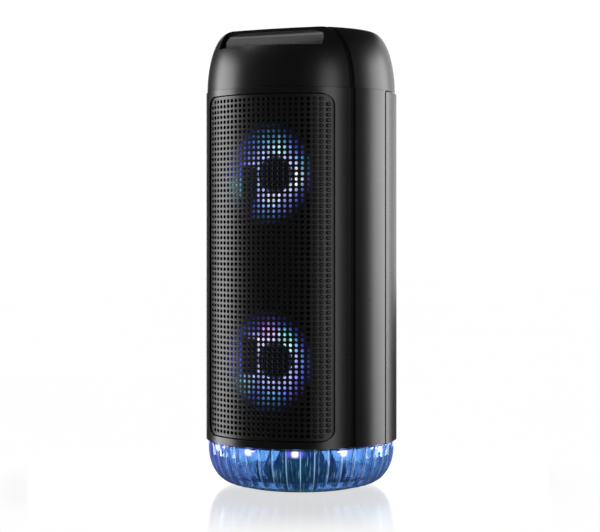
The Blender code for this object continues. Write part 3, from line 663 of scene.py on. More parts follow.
@dataclass(frozen=True)
class Weave(Finish):
    """Woven or knitted cloth stiffened with resin.

    Attributes:
        name: The material's name.
        colour: Base colour.
        thread: Distance between threads in millimetres.
    """

    name: str
    colour: Colour
    thread: float = 0.6

    def fill(self, recipe: Recipe) -> None:
        """Two crossed rows of threads, sin x times sin z, darker between them in painted shade."""
        x, _, z = recipe.axes(recipe.moved((0, 0, 0)))
        step = math.tau / self.thread
        across = recipe.math("SINE", recipe.times(x, step))
        along = recipe.math("SINE", recipe.times(z, step))
        threads_and_shade = recipe.math("ABSOLUTE", recipe.times(across, along))
        # Painted shade: darker in the hollows between the raised threads.
        darker = tuple(c * 0.45 for c in self.colour)
        recipe.set(Base_Color=recipe.mix(threads_and_shade, darker, self.colour),
                   Roughness=recipe.between(threads_and_shade, 0, 1, 0.6, 0.85))
        recipe.bump(threads_and_shade, 0.12)


@dataclass(frozen=True)
class Wrap(Finish):
    """Shrink-wrapped film over a pack of cells, with slack wrinkles.

    Attributes:
        name: The material's name.
        colour: Colour of the film.
        cell: Diameter of a cell in millimetres.
    """

    name: str
    colour: Colour
    cell: float = 18.6

    def fill(self, recipe: Recipe) -> None:
        """Cells show as slow waves |sin x| in bump and in painted shade, darker between the cells; wrinkles
        as stretched noise.
        """
        x, _, _ = recipe.axes(recipe.moved((0, 0, 0)))
        rounds_and_shade = recipe.math("ABSOLUTE", recipe.math("SINE", recipe.times(x, math.pi / self.cell)))
        wrinkles = recipe.noise(1.0, 3.0, recipe.moved((0, 0, 0), (0.5, 0.5, 0.08)))
        # Painted shade: the film is darker in the creases between the cells.
        darker = tuple(c * 0.5 for c in self.colour)
        recipe.set(Base_Color=recipe.mix(rounds_and_shade, darker, self.colour),
                   Roughness=recipe.between(wrinkles, 0.3, 0.7, 0.2, 0.4))
        recipe.bump(recipe.math("MULTIPLY_ADD", rounds_and_shade, 2.0, wrinkles), 0.4)


@dataclass(frozen=True)
class Spot:
    """A patch of painted coloured light about a place in a driver's plane.

    Attributes:
        x: Place across, from the driver's centre, in millimetres.
        z: Place up, from the driver's centre.
        reach: Radius at which the patch has faded.
        colour: Its colour.
        share: How far it takes over at its middle.
    """

    x: float
    z: float
    reach: float
    colour: Colour
    share: float = 1.0


@dataclass(frozen=True)
class LitDriver(Finish):
    """A part of a driver under its ring of lights: a dark ground with coloured light painted on it.

    Attributes:
        name: The material's name.
        height: Height of the driver's centre in millimetres.
        ground: Base colour of the part.
        spots: Patches of light, laid over each other in order.
        shade_top: Height over the centre above which the band of painted shade has gone.
        shade_low: Height over the centre below which it has gone.
        strength: Strength of the painted light.
    """

    name: str
    height: float
    ground: Colour
    spots: tuple[Spot, ...]
    shade_top: float
    shade_low: float
    strength: float = 3.0

    def fill(self, recipe: Recipe) -> None:
        """Painted light, as emission, by distance from the axis, coloured by the spots, with one band of
        painted shade.
        """
        centred = recipe.moved((0.0, 0.0, self.height))
        x, _, z = recipe.axes(centred)
        flat = recipe.node("ShaderNodeCombineXYZ")
        recipe.feed(flat.inputs[0], x)
        recipe.feed(flat.inputs[2], z)
        distance = recipe.node("ShaderNodeVectorMath", operation="LENGTH")
        recipe.feed(distance.inputs[0], flat.outputs[0])
        r = distance.outputs["Value"]
        colour: object = (0.1, 0.16, 1.0)
        for spot in self.spots:
            away = recipe.node("ShaderNodeVectorMath", operation="DISTANCE")
            recipe.feed(away.inputs[0], flat.outputs[0])
            away.inputs[1].default_value = (spot.x, 0.0, spot.z)
            near = recipe.between(away.outputs["Value"], spot.reach, 0.2 * spot.reach, 0.0, spot.share)
            colour = recipe.mix(near, colour, spot.colour)
        # Painted highlight: the painted light runs into white near the axis.
        white = recipe.between(r, 36.0, 20.0, 0.0, 0.4)
        colour = recipe.mix(white, colour, (1.0, 1.0, 1.0))
        inner = recipe.between(r, 50.0, 22.0, 0.0, 1.0)
        # A band of painted shade across the painted light.
        band_x = recipe.times(recipe.between(x, -34.0, -31.0), recipe.between(x, -18.0, -21.0))
        band_z = recipe.times(recipe.between(z, self.shade_low - 2, self.shade_low + 2),
                             recipe.between(z, self.shade_top + 2, self.shade_top - 2))
        lit = recipe.math("SUBTRACT", 1.0, recipe.times(band_x, band_z))
        # Noise makes the painted light patchy.
        patchy_light = recipe.between(recipe.noise(5.0, 2.0), 0.3, 0.7, 0.45, 1.15)
        light = recipe.times(recipe.times(inner, lit), patchy_light)
        ribs = recipe.math("SINE", recipe.times(r, math.tau / 3.1))
        lighter = tuple(1.4 * c for c in self.ground)
        recipe.set(Base_Color=recipe.mix(recipe.between(ribs, -1, 1), self.ground, lighter),
                   Roughness=recipe.between(recipe.noise(1.2, 3.0), 0.3, 0.7, 0.55, 0.8),
                   Emission_Color=recipe.mix(light, (0, 0, 0), colour), Emission_Strength=self.strength)
        recipe.bump(recipe.noise(0.5, 3.0), 0.05)


@dataclass(frozen=True)
class ClearLens(Finish):
    """Clear tinted polycarbonate with painted light, as emission, that runs down its ribs.

    Attributes:
        name: The material's name.
        tint: Colour of the plastic.
        flutes: Number of flutes round the lens.
        rim: Height of the rim in millimetres.
        lamps: Number of lamps round the rim.
        lamp_start: Turn of the first lamp.
        strength: Strength of the painted light in the ribs.
    """

    name: str
    tint: Colour
    flutes: int
    rim: float
    lamps: int = 12
    lamp_start: float = math.radians(22.5)
    strength: float = 1.0

    def fill(self, recipe: Recipe) -> None:
        """Painted light, as emission, sits where |sin(flutes / 2 * turn)| is near 0, in long streaks, and at
        the lamps.

        Lamps stand where |sin(lamps / 2 * (turn - start))| is near 0, each with a painted glow and a
        painted white glint. Painted glints sparkle near the foot. The painted light fades towards the
        foot and where the wall is seen edge on.
        """
        x, y, z = recipe.axes(recipe.moved((0, 0, 0)))
        turn = recipe.math("ARCTAN2", x, recipe.times(y, -1.0))
        wave = recipe.math("ABSOLUTE", recipe.math("SINE", recipe.times(turn, self.flutes / 2)))
        ridge = recipe.between(wave, 0.14, 0.0)
        long = recipe.node("ShaderNodeCombineXYZ")
        recipe.feed(long.inputs[0], recipe.times(turn, 55.0))
        recipe.feed(long.inputs[1], recipe.times(z, 0.07))
        coarse = recipe.noise(1.0, 3.0, long.outputs[0])
        streaks = recipe.between(coarse, 0.55, 0.72)
        wheel = recipe.math("MULTIPLY_ADD", turn, 1 / math.tau, 0.5)
        hue = recipe.ramp(wheel, [
            (0.0, (0.2, 0.25, 0.9)), (0.3, (0.4, 0.3, 0.95)), (0.42, (0.5, 0.52, 0.95)),
            (0.52, (0.4, 0.68, 0.85)), (0.6, (0.55, 0.68, 0.92)), (0.75, (0.55, 0.66, 0.95)),
            (1.0, (0.2, 0.25, 0.9))])
        body_hue = recipe.ramp(wheel, [
            (0.0, (0.03, 0.06, 0.35)), (0.38, (0.05, 0.06, 0.4)), (0.5, (0.03, 0.12, 0.3)),
            (0.58, (0.02, 0.16, 0.3)), (0.66, (0.04, 0.13, 0.4)), (1.0, (0.03, 0.06, 0.35))])
        fade = recipe.between(z, 0.0, self.rim - 8.0, 0.25, 1.0)
        rim = recipe.between(z, self.rim, self.rim - 3.5, 0.05, 1.0)
        # Layer Weight fades the painted light where the wall is seen edge on.
        edge_on = recipe.node("ShaderNodeLayerWeight")
        edge_on.inputs["Blend"].default_value = 0.5
        facing = recipe.between(edge_on.outputs["Facing"], 0.2, 1.0, 1.0, 0.35)
        light = recipe.math("ADD", recipe.times(ridge, 0.75), recipe.times(streaks, 0.3))
        light = recipe.times(recipe.times(light, fade), recipe.times(rim, facing))
        lamp = recipe.math("SUBTRACT", turn, self.lamp_start)
        lamp = recipe.math("ABSOLUTE", recipe.math("SINE", recipe.times(lamp, self.lamps / 2)))
        level = recipe.times(recipe.between(z, self.rim - 9.0, self.rim - 4.5),
                            recipe.between(z, self.rim - 0.8, self.rim - 3.0))
        # A painted glow and a painted white glint at each lamp.
        halo = recipe.times(recipe.between(lamp, 0.75, 0.1), level)
        core = recipe.times(recipe.between(lamp, 0.3, 0.05), level)
        # Painted glints that sparkle near the foot.
        painted_sparkle = recipe.times(recipe.between(recipe.cells(3.4), 0.2, 0.05), recipe.between(z, 8.0, 3.0))
        # A dim painted glow through the whole wall.
        body = recipe.times(recipe.between(coarse, 0.3, 0.6, 0.35, 1.0),
                            recipe.between(z, 8.0, 30.0, 0.08, 0.17))
        glow = recipe.mix(recipe.times(body, rim), (0, 0, 0), body_hue)
        glow = recipe.mix(recipe.times(light, 0.8), glow, hue)
        glow = recipe.mix(recipe.times(halo, 0.6), glow, (0.22, 0.1, 0.95))
        glow = recipe.mix(recipe.times(painted_sparkle, 0.5), glow, (0.15, 0.75, 0.8))
        glow = recipe.mix(core, glow, (1.0, 1.0, 1.0))
        recipe.set(Base_Color=recipe.mix(recipe.between(recipe.noise(14.0, 2.0), 0.3, 0.7), self.tint,
                                         tuple(0.85 * c for c in self.tint)),
                   Roughness=recipe.between(recipe.noise(1.5, 3.0), 0.4, 0.8, 0.02, 0.09),
                   Transmission_Weight=1.0, IOR=1.49, Emission_Color=glow, Emission_Strength=self.strength)
        recipe.bump(recipe.noise(2.5, 2.0), 0.015)


@dataclass(frozen=True)
class LitDish(Finish):
    """The reflector under the lens: plated plastic with the coloured lamps' light painted on it.

    Attributes:
        name: The material's name.
        colour: Base colour.
        pleats: Number of pleats round the dish.
        strength: Strength of the painted light on it.
    """

    name: str
    colour: Colour
    pleats: int
    strength: float = 1.0

    def fill(self, recipe: Recipe) -> None:
        """Painted light, as emission, brightens up the cone and changes colour round the axis."""
        x, y, z = recipe.axes(recipe.moved((0, 0, 0)))
        turn = recipe.math("ARCTAN2", x, recipe.times(y, -1.0))
        wheel = recipe.math("MULTIPLY_ADD", turn, 1 / math.tau, 0.5)
        hue = recipe.ramp(wheel, [
            (0.0, (0.05, 0.2, 0.8)), (0.3, (0.1, 0.1, 0.9)), (0.42, (0.12, 0.2, 0.95)),
            (0.54, (0.03, 0.35, 0.6)), (0.66, (0.08, 0.25, 0.9)), (0.8, (0.15, 0.15, 0.9)),
            (1.0, (0.05, 0.2, 0.8))])
        pleat = recipe.math("ABSOLUTE", recipe.math("SINE", recipe.times(turn, self.pleats / 2)))
        # Painted light, stronger up the cone and on the pleats.
        top = recipe.between(z, 13.0, 36.0, 0.04, 0.2)
        light = recipe.times(top, recipe.between(pleat, 0, 1, 0.55, 1.0))
        darker = tuple(0.8 * c for c in self.colour)
        recipe.set(Base_Color=recipe.mix(recipe.noise(12.0, 3.0), self.colour, darker),
                   Metallic=1.0, Roughness=recipe.between(recipe.noise(4.0, 3.0), 0.3, 0.7, 0.18, 0.34),
                   Emission_Color=recipe.mix(light, (0, 0, 0), hue), Emission_Strength=self.strength)
        recipe.bump(recipe.noise(3.0, 2.0), 0.03)


@dataclass(frozen=True)
class LampGlow(Finish):
    """A lamp's clear dome over its lit chip.

    Attributes:
        name: The material's name.
        strength: Strength of the light.
    """

    name: str
    strength: float

    def fill(self, recipe: Recipe) -> None:
        """White at the chip, running into blue and violet round the ring."""
        x, y, _ = recipe.axes(recipe.moved((0, 0, 0)))
        turn = recipe.math("ARCTAN2", x, recipe.times(y, -1.0))
        wheel = recipe.math("MULTIPLY_ADD", turn, 1 / math.tau, 0.5)
        hue = recipe.ramp(wheel, [
            (0.0, (0.5, 0.6, 1.0)), (0.4, (0.4, 0.25, 1.0)), (0.5, (0.45, 0.2, 1.0)),
            (0.56, (0.75, 0.97, 1.0)), (0.64, (0.5, 0.35, 1.0)), (0.8, (0.5, 0.75, 1.0)),
            (1.0, (0.5, 0.6, 1.0))])
        recipe.set(Base_Color=recipe.mix(recipe.noise(1.0), (0.8, 0.84, 0.9), (0.7, 0.75, 0.85)),
                   Roughness=recipe.between(recipe.noise(0.8), 0.3, 0.7, 0.12, 0.3), Emission_Color=hue,
                   Emission_Strength=self.strength)


@dataclass(frozen=True)
class Ink(Finish):
    """Screen-printed ink, slightly worn.

    Attributes:
        name: The material's name.
        colour: The ink's colour.
    """

    name: str
    colour: Colour

    def fill(self, recipe: Recipe) -> None:
        """Fine noise thins the ink here and there."""
        worn = recipe.between(recipe.noise(0.6, 3.0), 0.62, 0.8)
        recipe.set(Base_Color=recipe.mix(worn, self.colour, tuple(0.4 * c for c in self.colour)),
                   Roughness=recipe.between(worn, 0.0, 1.0, 0.5, 0.7))


@dataclass(frozen=True)
class StudioSweep(Finish):
    """White studio floor, polished where the speaker stands.

    Attributes:
        name: The material's name.
        glow: How bright the floor is.
        polish: Share of mirror reflection round the speaker.
        reach: Radius in millimetres of the polished place.
    """

    name: str
    glow: float
    polish: float
    reach: float

    def fill(self, recipe: Recipe) -> None:
        """White everywhere, with a share of blurred mirror inside the reach."""
        glow = recipe.node("ShaderNodeEmission")
        white, off_white = (1.0, 1.0, 1.0), (0.99, 0.99, 0.99)
        recipe.feed(glow.inputs["Color"], recipe.mix(recipe.noise(900.0, 2.0), white, off_white))
        glow.inputs["Strength"].default_value = self.glow
        mirror = recipe.node("ShaderNodeBsdfGlossy")
        recipe.feed(mirror.inputs["Roughness"], recipe.between(recipe.noise(60.0), 0.3, 0.7, 0.1, 0.16))
        x, y, _ = recipe.axes(recipe.moved((0, 0, 0)))
        square = recipe.math("ADD", recipe.times(x, x), recipe.times(y, y))
        away = recipe.math("SQRT", square)
        share = recipe.node("ShaderNodeMixShader")
        recipe.feed(share.inputs[0], recipe.between(away, self.reach, 0.45 * self.reach, 0.0, self.polish))
        recipe.tree.links.new(glow.outputs[0], share.inputs[1])
        recipe.tree.links.new(mirror.outputs[0], share.inputs[2])
        recipe.tree.links.new(share.outputs[0], recipe.tree.nodes["Material Output"].inputs["Surface"])


# Patches of painted light on each driver, laid over each other in order.
UPPER_SPOTS = (
    Spot(0, 33, 26, (0.08, 0.42, 0.75)), Spot(34, 4, 24, (0.1, 0.5, 0.85)),
    Spot(-40, 20, 18, (0.16, 0.12, 0.7)), Spot(24, -4, 17, (0.85, 0.95, 1.0)),
    Spot(-2, -27, 15, (0.6, 0.85, 0.95)), Spot(8, 27, 12, (0.25, 0.8, 0.9)),
    Spot(-37, -15, 17, (0.2, 0.85, 0.95)), Spot(16, -31, 18, (0.25, 0.25, 1.0)),
    Spot(-4, -40, 20, (0.12, 0.35, 0.95)), Spot(42, -8, 12, (0.3, 0.15, 0.9)))
LOWER_SPOTS = (
    Spot(-4, 40, 22, (0.2, 0.1, 0.9)), Spot(-4, 28, 14, (0.75, 0.3, 0.95)),
    Spot(14, 20, 18, (0.1, 0.9, 0.75)), Spot(-20, 18, 13, (0.7, 0.5, 1.0)),
    Spot(34, 6, 14, (0.12, 0.3, 1.0)), Spot(42, 18, 12, (0.15, 0.08, 0.8)),
    Spot(-30, -24, 16, (0.3, 0.75, 0.95)), Spot(0, -38, 20, (0.1, 0.4, 0.9)),
    Spot(-42, 4, 18, (0.1, 0.1, 0.8)), Spot(30, -30, 16, (0.25, 0.15, 0.95)))

GLOSS = Moulding("gloss_black_moulding", (0.0035, 0.0035, 0.0038), 0.28, 0.002, 0.5, 0.006)
CAP_GLOSS = Moulding("cap_black_moulding", (0.003, 0.003, 0.0032), 0.31, 0.002, 0.5, 0.006)
GRILLE_BLACK = Moulding("grille_black_moulding", (0.0035, 0.0035, 0.0037), 0.37, 0.004, 0.4)
SATIN = Moulding("satin_black_moulding", (0.012, 0.012, 0.013), 0.42, 0.02, 0.4)
TRIM = Moulding("trim_black_moulding", (0.002, 0.002, 0.002), 0.55, 0.02, 0.3, specular=0.12)
MATTE = Moulding("matte_black_moulding", (0.012, 0.012, 0.012), 0.7, 0.05, 0.6, specular=0.3)
RUBBER = Rubber("soft_black_rubber", (0.014, 0.014, 0.014))
GRIP = Rubber("grip_black_rubber", (0.016, 0.016, 0.016), 0.7, 1.3, 0.08)
FOAM = Rubber("gasket_foam", (0.02, 0.02, 0.02), 0.92, 0.9, 0.15)
CHROME = Metal("bright_plated_metal", (0.78, 0.79, 0.8), 0.16)
STEEL = Metal("zinc_plated_steel", (0.42, 0.42, 0.43), 0.32, 0.25, 0.01)
BLACK_STEEL = Metal("black_oxide_steel", (0.05, 0.05, 0.052), 0.36, 0.3, 0.01)
BOARD = Board("circuit_board")
SPIDER = Weave("resin_weave", (0.42, 0.27, 0.1))
WRAP = Wrap("cell_wrap_blue", (0.03, 0.12, 0.34))
INK = Ink("pale_ink", (0.62, 0.63, 0.64))
LENS = ClearLens("clear_fluted_lens", (0.27, 0.46, 0.7), 42, 45.2)
DISH = LitDish("lit_reflector", (0.13, 0.17, 0.25), 42)
LAMP = LampGlow("lamp_dome", 14.0)
FLOOR = StudioSweep("studio_floor", 1.0, 0.32, 330.0)


# ---------------------------------------------------------------- clear base


@dataclass
class Base:
    """The clear fluted bowl with its foot, reflector and ring of lamps."""

    flutes: int = 42
    flute_depth: float = 1.0
    steps: int = 8
    wall: float = 3.0
    curve_width: float = 30.0
    curve_rise: float = 37.0
    power: float = 2.2
    taper: float = 0.8
    lamps: int = 12
    lamp_start: float = math.radians(22.5)
    lamp_circle: float = 82.8
    dish_sheet: float = 1.5
    brim_height: float = 13.5
    post_outer: float = 14.0
    post_inner: float = 12.0

    def radius_at(self, height: np.ndarray, foot: float, rim: float) -> np.ndarray:
        """Outer radius, rim - width * (1 - (1 - s^p)^(1/p)), s falling from 1 to 0 over the rise."""
        share = np.clip(1.0 - (height - foot) / self.curve_rise, 0.0, 1.0)
        return rim - self.taper - self.curve_width * (1.0 - (1.0 - share**self.power) ** (1.0 / self.power))

    def lens(self) -> bpy.types.Object:
        """The bowl: a turned wall whose outside has concave flutes, r - depth * |sin(n t / 2)|.

        Returns:
            The bowl.
        """
        low, high = span("base_lens")
        rim, foot, top = high[0], low[2], high[2]
        z = foot + self.curve_rise * np.linspace(0, 1, 15) ** 1.7
        r = self.radius_at(z, foot, rim)
        outer = np.column_stack([r, z])
        inner = np.column_stack([r - self.wall, np.maximum(z, foot + self.wall)])[4:]
        profile = np.concatenate([
            [(0.0, foot), (outer[0, 0] - 6, foot)], outer,
            [(rim - 0.3, top - 1.0), (rim - 0.5, top - 0.3), (rim - 1.0, top), (rim - self.wall, top)],
            inner[::-1], [(inner[0, 0] - 14, foot + self.wall), (0.0, foot + self.wall)]])
        edge = outer[0, 0] - 1.0

        def fluted(turn: np.ndarray, radius: np.ndarray, height: np.ndarray) -> np.ndarray:
            """Flutes on the outside only, running out below the foot and under the rim."""
            outside = radius > self.radius_at(height, foot, rim) - 0.5 * self.wall
            run = np.clip((top - height) / 2.0, 0.0, 1.0) * (outside & (radius > edge))
            return radius - self.flute_depth * run * np.abs(np.sin(self.flutes * turn / 2))

        made = Mould().turned(profile, self.flutes * self.steps, radius=fluted)
        made = made.piece("fluted_lens", LENS, 14.0)
        return settle(made, "enclosure", "clear_blue", "base_lens")

    def dish(self) -> bpy.types.Object:
        """The reflector: a cone with pleats, r + depth * |sin(n t / 2)|, over a flat brim and a post.

        Returns:
            The reflector.
        """
        low, high = span("reflector_dish")
        brim, bottom, top = high[0], low[2], high[2]
        sheet, height = self.dish_sheet, self.brim_height
        ceiling = top - sheet - 0.8
        share = np.linspace(0, 1, 9)[1:-1]
        slope = np.column_stack([18 + 26 * share**1.25, top - (top - height) * share])
        profile = np.concatenate([
            [(0, top), (17, top), (18, top - 0.4)], slope,
            [(45, height), (brim - 1.5, height), (brim - 0.4, height - 0.3), (brim, height - 0.8),
             (brim, height - sheet), (43.3, height - sheet), (17.0, ceiling), (self.post_outer, ceiling),
             (self.post_outer, bottom), (self.post_inner, bottom), (self.post_inner, ceiling), (0, ceiling)]])

        def pleated(turn: np.ndarray, radius: np.ndarray, height_at: np.ndarray) -> np.ndarray:
            """Pleats on the sloping cone only."""
            on_cone = np.clip((radius - 18.0) / 6.0, 0, 1) * np.clip((46.0 - radius) / 6.0, 0, 1)
            upper = height_at > height - 0.1
            return radius + 0.8 * on_cone * upper * np.abs(np.sin(self.flutes * turn / 2))

        made = Mould().turned(profile, self.flutes * 6, radius=pleated).piece("pleated_reflector", DISH, 20.0)
        return settle(made, "enclosure", "silver", "reflector_dish")

    def lamp_domes(self) -> bpy.types.Object:
        """A round dome under each lamp on the board: r cos e, z - rise sin e.

        Returns:
            The domes, as one piece.
        """
        face = span("light_board")[0][2]
        e = arc(0, 90, 4)
        profile = np.column_stack([2.1 * np.cos(e), face - GAP - 1.4 * np.sin(e)])
        profile = np.concatenate([[(0, face - GAP)], profile])
        made = Mould()
        for index in range(self.lamps):
            turn = self.lamp_start + math.tau * index / self.lamps
            one = Mould().turned(profile, 12)
            place = (self.lamp_circle * math.sin(turn), -self.lamp_circle * math.cos(turn), 0.0)
            made.joined(one.placed(Matrix.Translation(place)))
        return settle(made.piece("lamp_domes", LAMP), "enclosure", "diffuser")

    def foot(self) -> bpy.types.Object:
        """The foot: a rubber ring with round edges and three grooves, each half a sine.

        Returns:
            The foot ring.
        """
        low, high = span("foot_ring")
        outer, inner, thick = high[0], high[0] - 14.0, high[2]
        share = np.linspace(0, 1, 37)
        groove = 0.45 * np.clip(np.sin(share * 3 * math.tau - math.pi / 2), 0, 1)
        edge = 0.5 * (np.clip(1 - share / 0.05, 0, 1) ** 2 + np.clip(1 - (1 - share) / 0.05, 0, 1) ** 2)
        under = np.column_stack([inner + (outer - inner) * share, groove + edge])
        profile = np.concatenate([under, [(outer, thick), (inner, thick)]])
        made = Mould().turned(profile, 96).piece("grooved_foot", RUBBER)
        return settle(made, "enclosure", "soft_black", "foot_ring")

    def build(self) -> None:
        """Build the base and dress its board."""
        self.lens()
        self.dish()
        self.lamp_domes()
        self.foot()
        dress("light_board", BOARD)


def dress(node: str, finish: Finish) -> None:
    """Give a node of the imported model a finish."""
    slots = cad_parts[node].material_slots
    for slot in slots:
        slot.material = finish.material()
    log.info("%s keeps its shape, in %s", node, finish.name)


# ---------------------------------------------------------------- body, cap and groove


@dataclass
class Shells:
    """The two halves of the body, the cap, and the strip that lies in the groove round them."""

    grille_half: float = 68.2
    grille_low: float = 52.5
    grille_high: float = 383.0
    grille_corner: float = 11.3
    shoulder: float = 22.0
    crown: float = 1.0
    ledge: float = 429.5
    deck_half: float = 55.5
    deck_back: float = 54.0
    pocket_half: float = 46.0
    pocket_back: float = 42.0
    pocket_front: float = 18.0
    trim_width: tuple[float, float] = (48.2, 52.5)
    trim_depth: tuple[float, float] = (1.0, 1.9)
    screw_radius: float = 3.9
    port_radius: float = 27.3
    reach: float = 130.0

    def cap_outline(self, inset: float, steps: int = 22) -> np.ndarray:
        """The cap's (radius, z) curve from its seam to the axis, moved in by an inset.

        The shoulder is part of an ellipse, edge + width cos t, seam + rise sin t. It runs into
        the crown top - k r^2 where both have the same slope.

        Args:
            inset: How far inside the outer face the curve lies.
            steps: Steps in the shoulder.

        Returns:
            Points (n, 2).
        """
        edge = PLAN.cap_radius - self.shoulder
        rise = PLAN.top - PLAN.seam_high - self.crown
        end = math.atan(rise / self.shoulder * edge / (2 * self.crown))
        t = end * np.linspace(0, 1, steps + 1)
        curve = np.column_stack([edge - inset + self.shoulder * np.cos(t),
                                 PLAN.seam_high + (rise - inset) * np.sin(t)])
        share = np.array([0.88, 0.75, 0.6, 0.45, 0.3, 0.15, 0.0])
        top, (last_r, last_z) = PLAN.top - inset, curve[-1]
        crown = np.column_stack([last_r * share, top - (top - last_z) * share**2])
        return np.concatenate([curve, crown])

    def solid_inside(self, inset: float, segments: int = 192) -> Mould:
        """Body and cap as one solid, moved in by an inset."""
        body = [(0.0, PLAN.shell_low), (PLAN.body_radius - inset, PLAN.shell_low),
                (PLAN.body_radius - inset, PLAN.seam_high - 0.01)]
        return Mould().turned(np.concatenate([body, self.cap_outline(inset)]), segments)

    def groove_cutter(self) -> bpy.types.Object:
        """The slab that the groove takes out of body and cap."""
        slab = block((-self.reach, -PLAN.groove_front, PLAN.shell_low - 9),
                     (self.reach, -PLAN.groove_back, PLAN.top + 9))
        return carve(slab.piece("groove"), [self.solid_inside(PLAN.groove_cut).piece("groove_floor")])

    def front(self) -> bpy.types.Object:
        """The front half: a turned wall with the grille's opening and the groove cut out."""
        low, high = PLAN.shell_low, PLAN.shell_high
        outer, inner = PLAN.body_radius, PLAN.body_radius - PLAN.wall
        slit = GAP / 2 / outer
        profile = np.array([(inner, low), (outer, low), (outer, high), (inner, high)])
        made = Mould().turned(profile, 120, slit - PLAN.split, 2 * (PLAN.split - slit))
        made = made.piece("front_half", GLOSS)
        opening = rounded_rectangle(self.grille_half, self.grille_low, self.grille_high, self.grille_corner)
        window = Mould().prism(opening, 20.0, self.reach).placed(Matrix.Rotation(math.pi / 2, 4, "X"))
        carve(made, [window.piece("grille_opening"), self.groove_cutter()])
        soften(made, 0.45)
        return settle(made, "enclosure", "gloss_black", "front_shell")

    def rear(self) -> bpy.types.Object:
        """The rear half: a turned wall with a chamfered top and its openings cut out."""
        low, high, outer = PLAN.shell_low, PLAN.shell_high, PLAN.rear_radius
        slit = GAP / 2 / outer
        profile = np.array([(outer - PLAN.wall, low), (outer, low), (outer, high - 1.4), (outer - 1.4, high),
                            (outer - PLAN.wall, high)])
        made = Mould().turned(profile, 121, PLAN.split + slit, math.tau - 2 * (PLAN.split + slit))
        made = made.piece("rear_half", GLOSS)
        port = span("bass_port")
        centre = (port[0][2] + port[1][2]) / 2
        backward = Matrix.Translation((0, 0, centre)) @ Matrix.Rotation(-math.pi / 2, 4, "X")
        port = Mould().turned(disc(self.port_radius, 50, self.reach), 72).placed(backward)
        cutters = [port.piece("port_opening")]
        low_corner, high_corner = span("jack_panel")
        cutters.append(block((low_corner[0] - GAP, 50, low_corner[2] - GAP),
                             (high_corner[0] + GAP, self.reach, high_corner[2] + GAP)).piece("jack_opening"))
        for index, frame_of in enumerate(screw_frames()):
            hole = Mould().turned(disc(self.screw_radius, outer - 12, outer + 12), 32).placed(frame_of)
            cutters.append(hole.piece(f"screw_opening_{index}"))
        carve(made, cutters)
        soften(made, 0.4)
        return settle(made, "enclosure", "gloss_black", "rear_shell")

    def cap(self) -> bpy.types.Object:
        """The domed cap with the deck's and the hand pocket's openings and the groove cut out."""
        profile = np.concatenate([self.cap_outline(0.0), self.cap_outline(PLAN.wall)[::-1]])
        made = Mould().turned(profile, 192).piece("domed_cap", CAP_GLOSS)
        deck = block((-self.deck_half, -self.reach, self.ledge),
                     (self.deck_half, -self.deck_back, PLAN.top + 10))
        outline = rounded_rectangle(self.pocket_half, -self.pocket_front, self.pocket_back, 12.0)
        pocket = Mould().prism(outline, PLAN.seam_high + 3, PLAN.top + 10)
        carve(made, [deck.piece("deck_opening"), pocket.piece("pocket_opening"), self.groove_cutter()])
        soften(made, 1.0, 3)
        return settle(made, "enclosure", "gloss_black", "top_cap")

    def side_trims(self) -> None:
        """Strips in the body's groove: x = sqrt(r^2 - depth^2) over a few depths and heights."""
        depth = np.linspace(*self.trim_width, 5)[:, None]
        z = np.linspace(PLAN.shell_low, PLAN.shell_high, 9)[None, :]
        for side, sign in (("left", -1), ("right", 1)):
            sheets = []
            for inset in self.trim_depth:
                x = sign * np.sqrt((PLAN.body_radius - inset) ** 2 - depth**2)
                sheets.append(np.stack(np.broadcast_arrays(x, -depth, z), -1))
            made = Mould().slab(*sheets).piece(f"groove_strip_{side}", TRIM)
            settle(soften(made, 0.15, 1), "enclosure", "satin_black", f"side_trim_{side}")

    def cap_trim(self) -> bpy.types.Object:
        """The strip over the cap: along the cap's curve to where r = depth, then down again."""
        sheets = []
        for inset in self.trim_depth:
            curve = self.cap_outline(inset, 60)
            length = np.concatenate([[0], np.cumsum(np.hypot(*np.diff(curve, axis=0).T))])
            rows = []
            for depth in np.linspace(*self.trim_width, 5):
                end = np.interp(depth, curve[::-1, 0], length[::-1])
                along = np.linspace(np.interp(GAP, curve[:, 1] - PLAN.seam_high, length), end, 49)
                r = np.interp(along, length, curve[:, 0])
                z = np.interp(along, length, curve[:, 1])
                x = np.sqrt(np.maximum(r**2 - depth**2, 0.0))
                half = np.stack([x, np.full_like(x, -depth), z], -1)
                rows.append(np.concatenate([half, (half * (-1, 1, 1))[-2::-1]]))
            sheets.append(np.array(rows))
        made = Mould().slab(*sheets).piece("groove_strip_cap", TRIM)
        return settle(soften(made, 0.15, 1), "enclosure", "satin_black", "cap_trim")

    def screws(self) -> None:
        """Screws with a hexagonal socket: rings of the head run into a hexagon."""
        for index, frame_of in enumerate(screw_frames()):
            low = PLAN.rear_radius - 12.0
            head = PLAN.rear_radius - 0.6
            t = np.linspace(0, math.tau, 24, endpoint=False)
            hexagon = 1.7 / np.cos((t + math.pi / 6) % (math.pi / 3) - math.pi / 6)
            levels = [(1e-4, low), (1.3, low), (1.6, low + 0.5), (1.6, head - 1.8),
                      (3.6, head - 1.8), (3.6, head - 0.5),
                      (3.2, head - 0.1), (2.6, head), (None, head), (None, head - 1.5), (1e-4, head - 1.5)]
            rings = []
            for radius, height in levels:
                r = hexagon if radius is None else np.full_like(t, radius)
                rings.append(np.column_stack([r * np.sin(t), -r * np.cos(t), np.full_like(t, height)]))
            made = Mould().surface(np.array(rings), wrap_columns=True).placed(frame_of)
            piece = made.piece(f"socket_screw_{index + 1}", BLACK_STEEL, 30.0)
            settle(piece, "enclosure", "steel", f"shell_screw_{index + 1}")

    def build(self) -> None:
        """Build the shells, the cap, the strips and the screws."""
        self.front()
        self.rear()
        self.cap()
        self.side_trims()
        self.cap_trim()
        self.screws()
        for node in ("chamber_lid", "floor_plate", "baffle"):
            dress(node, MATTE)


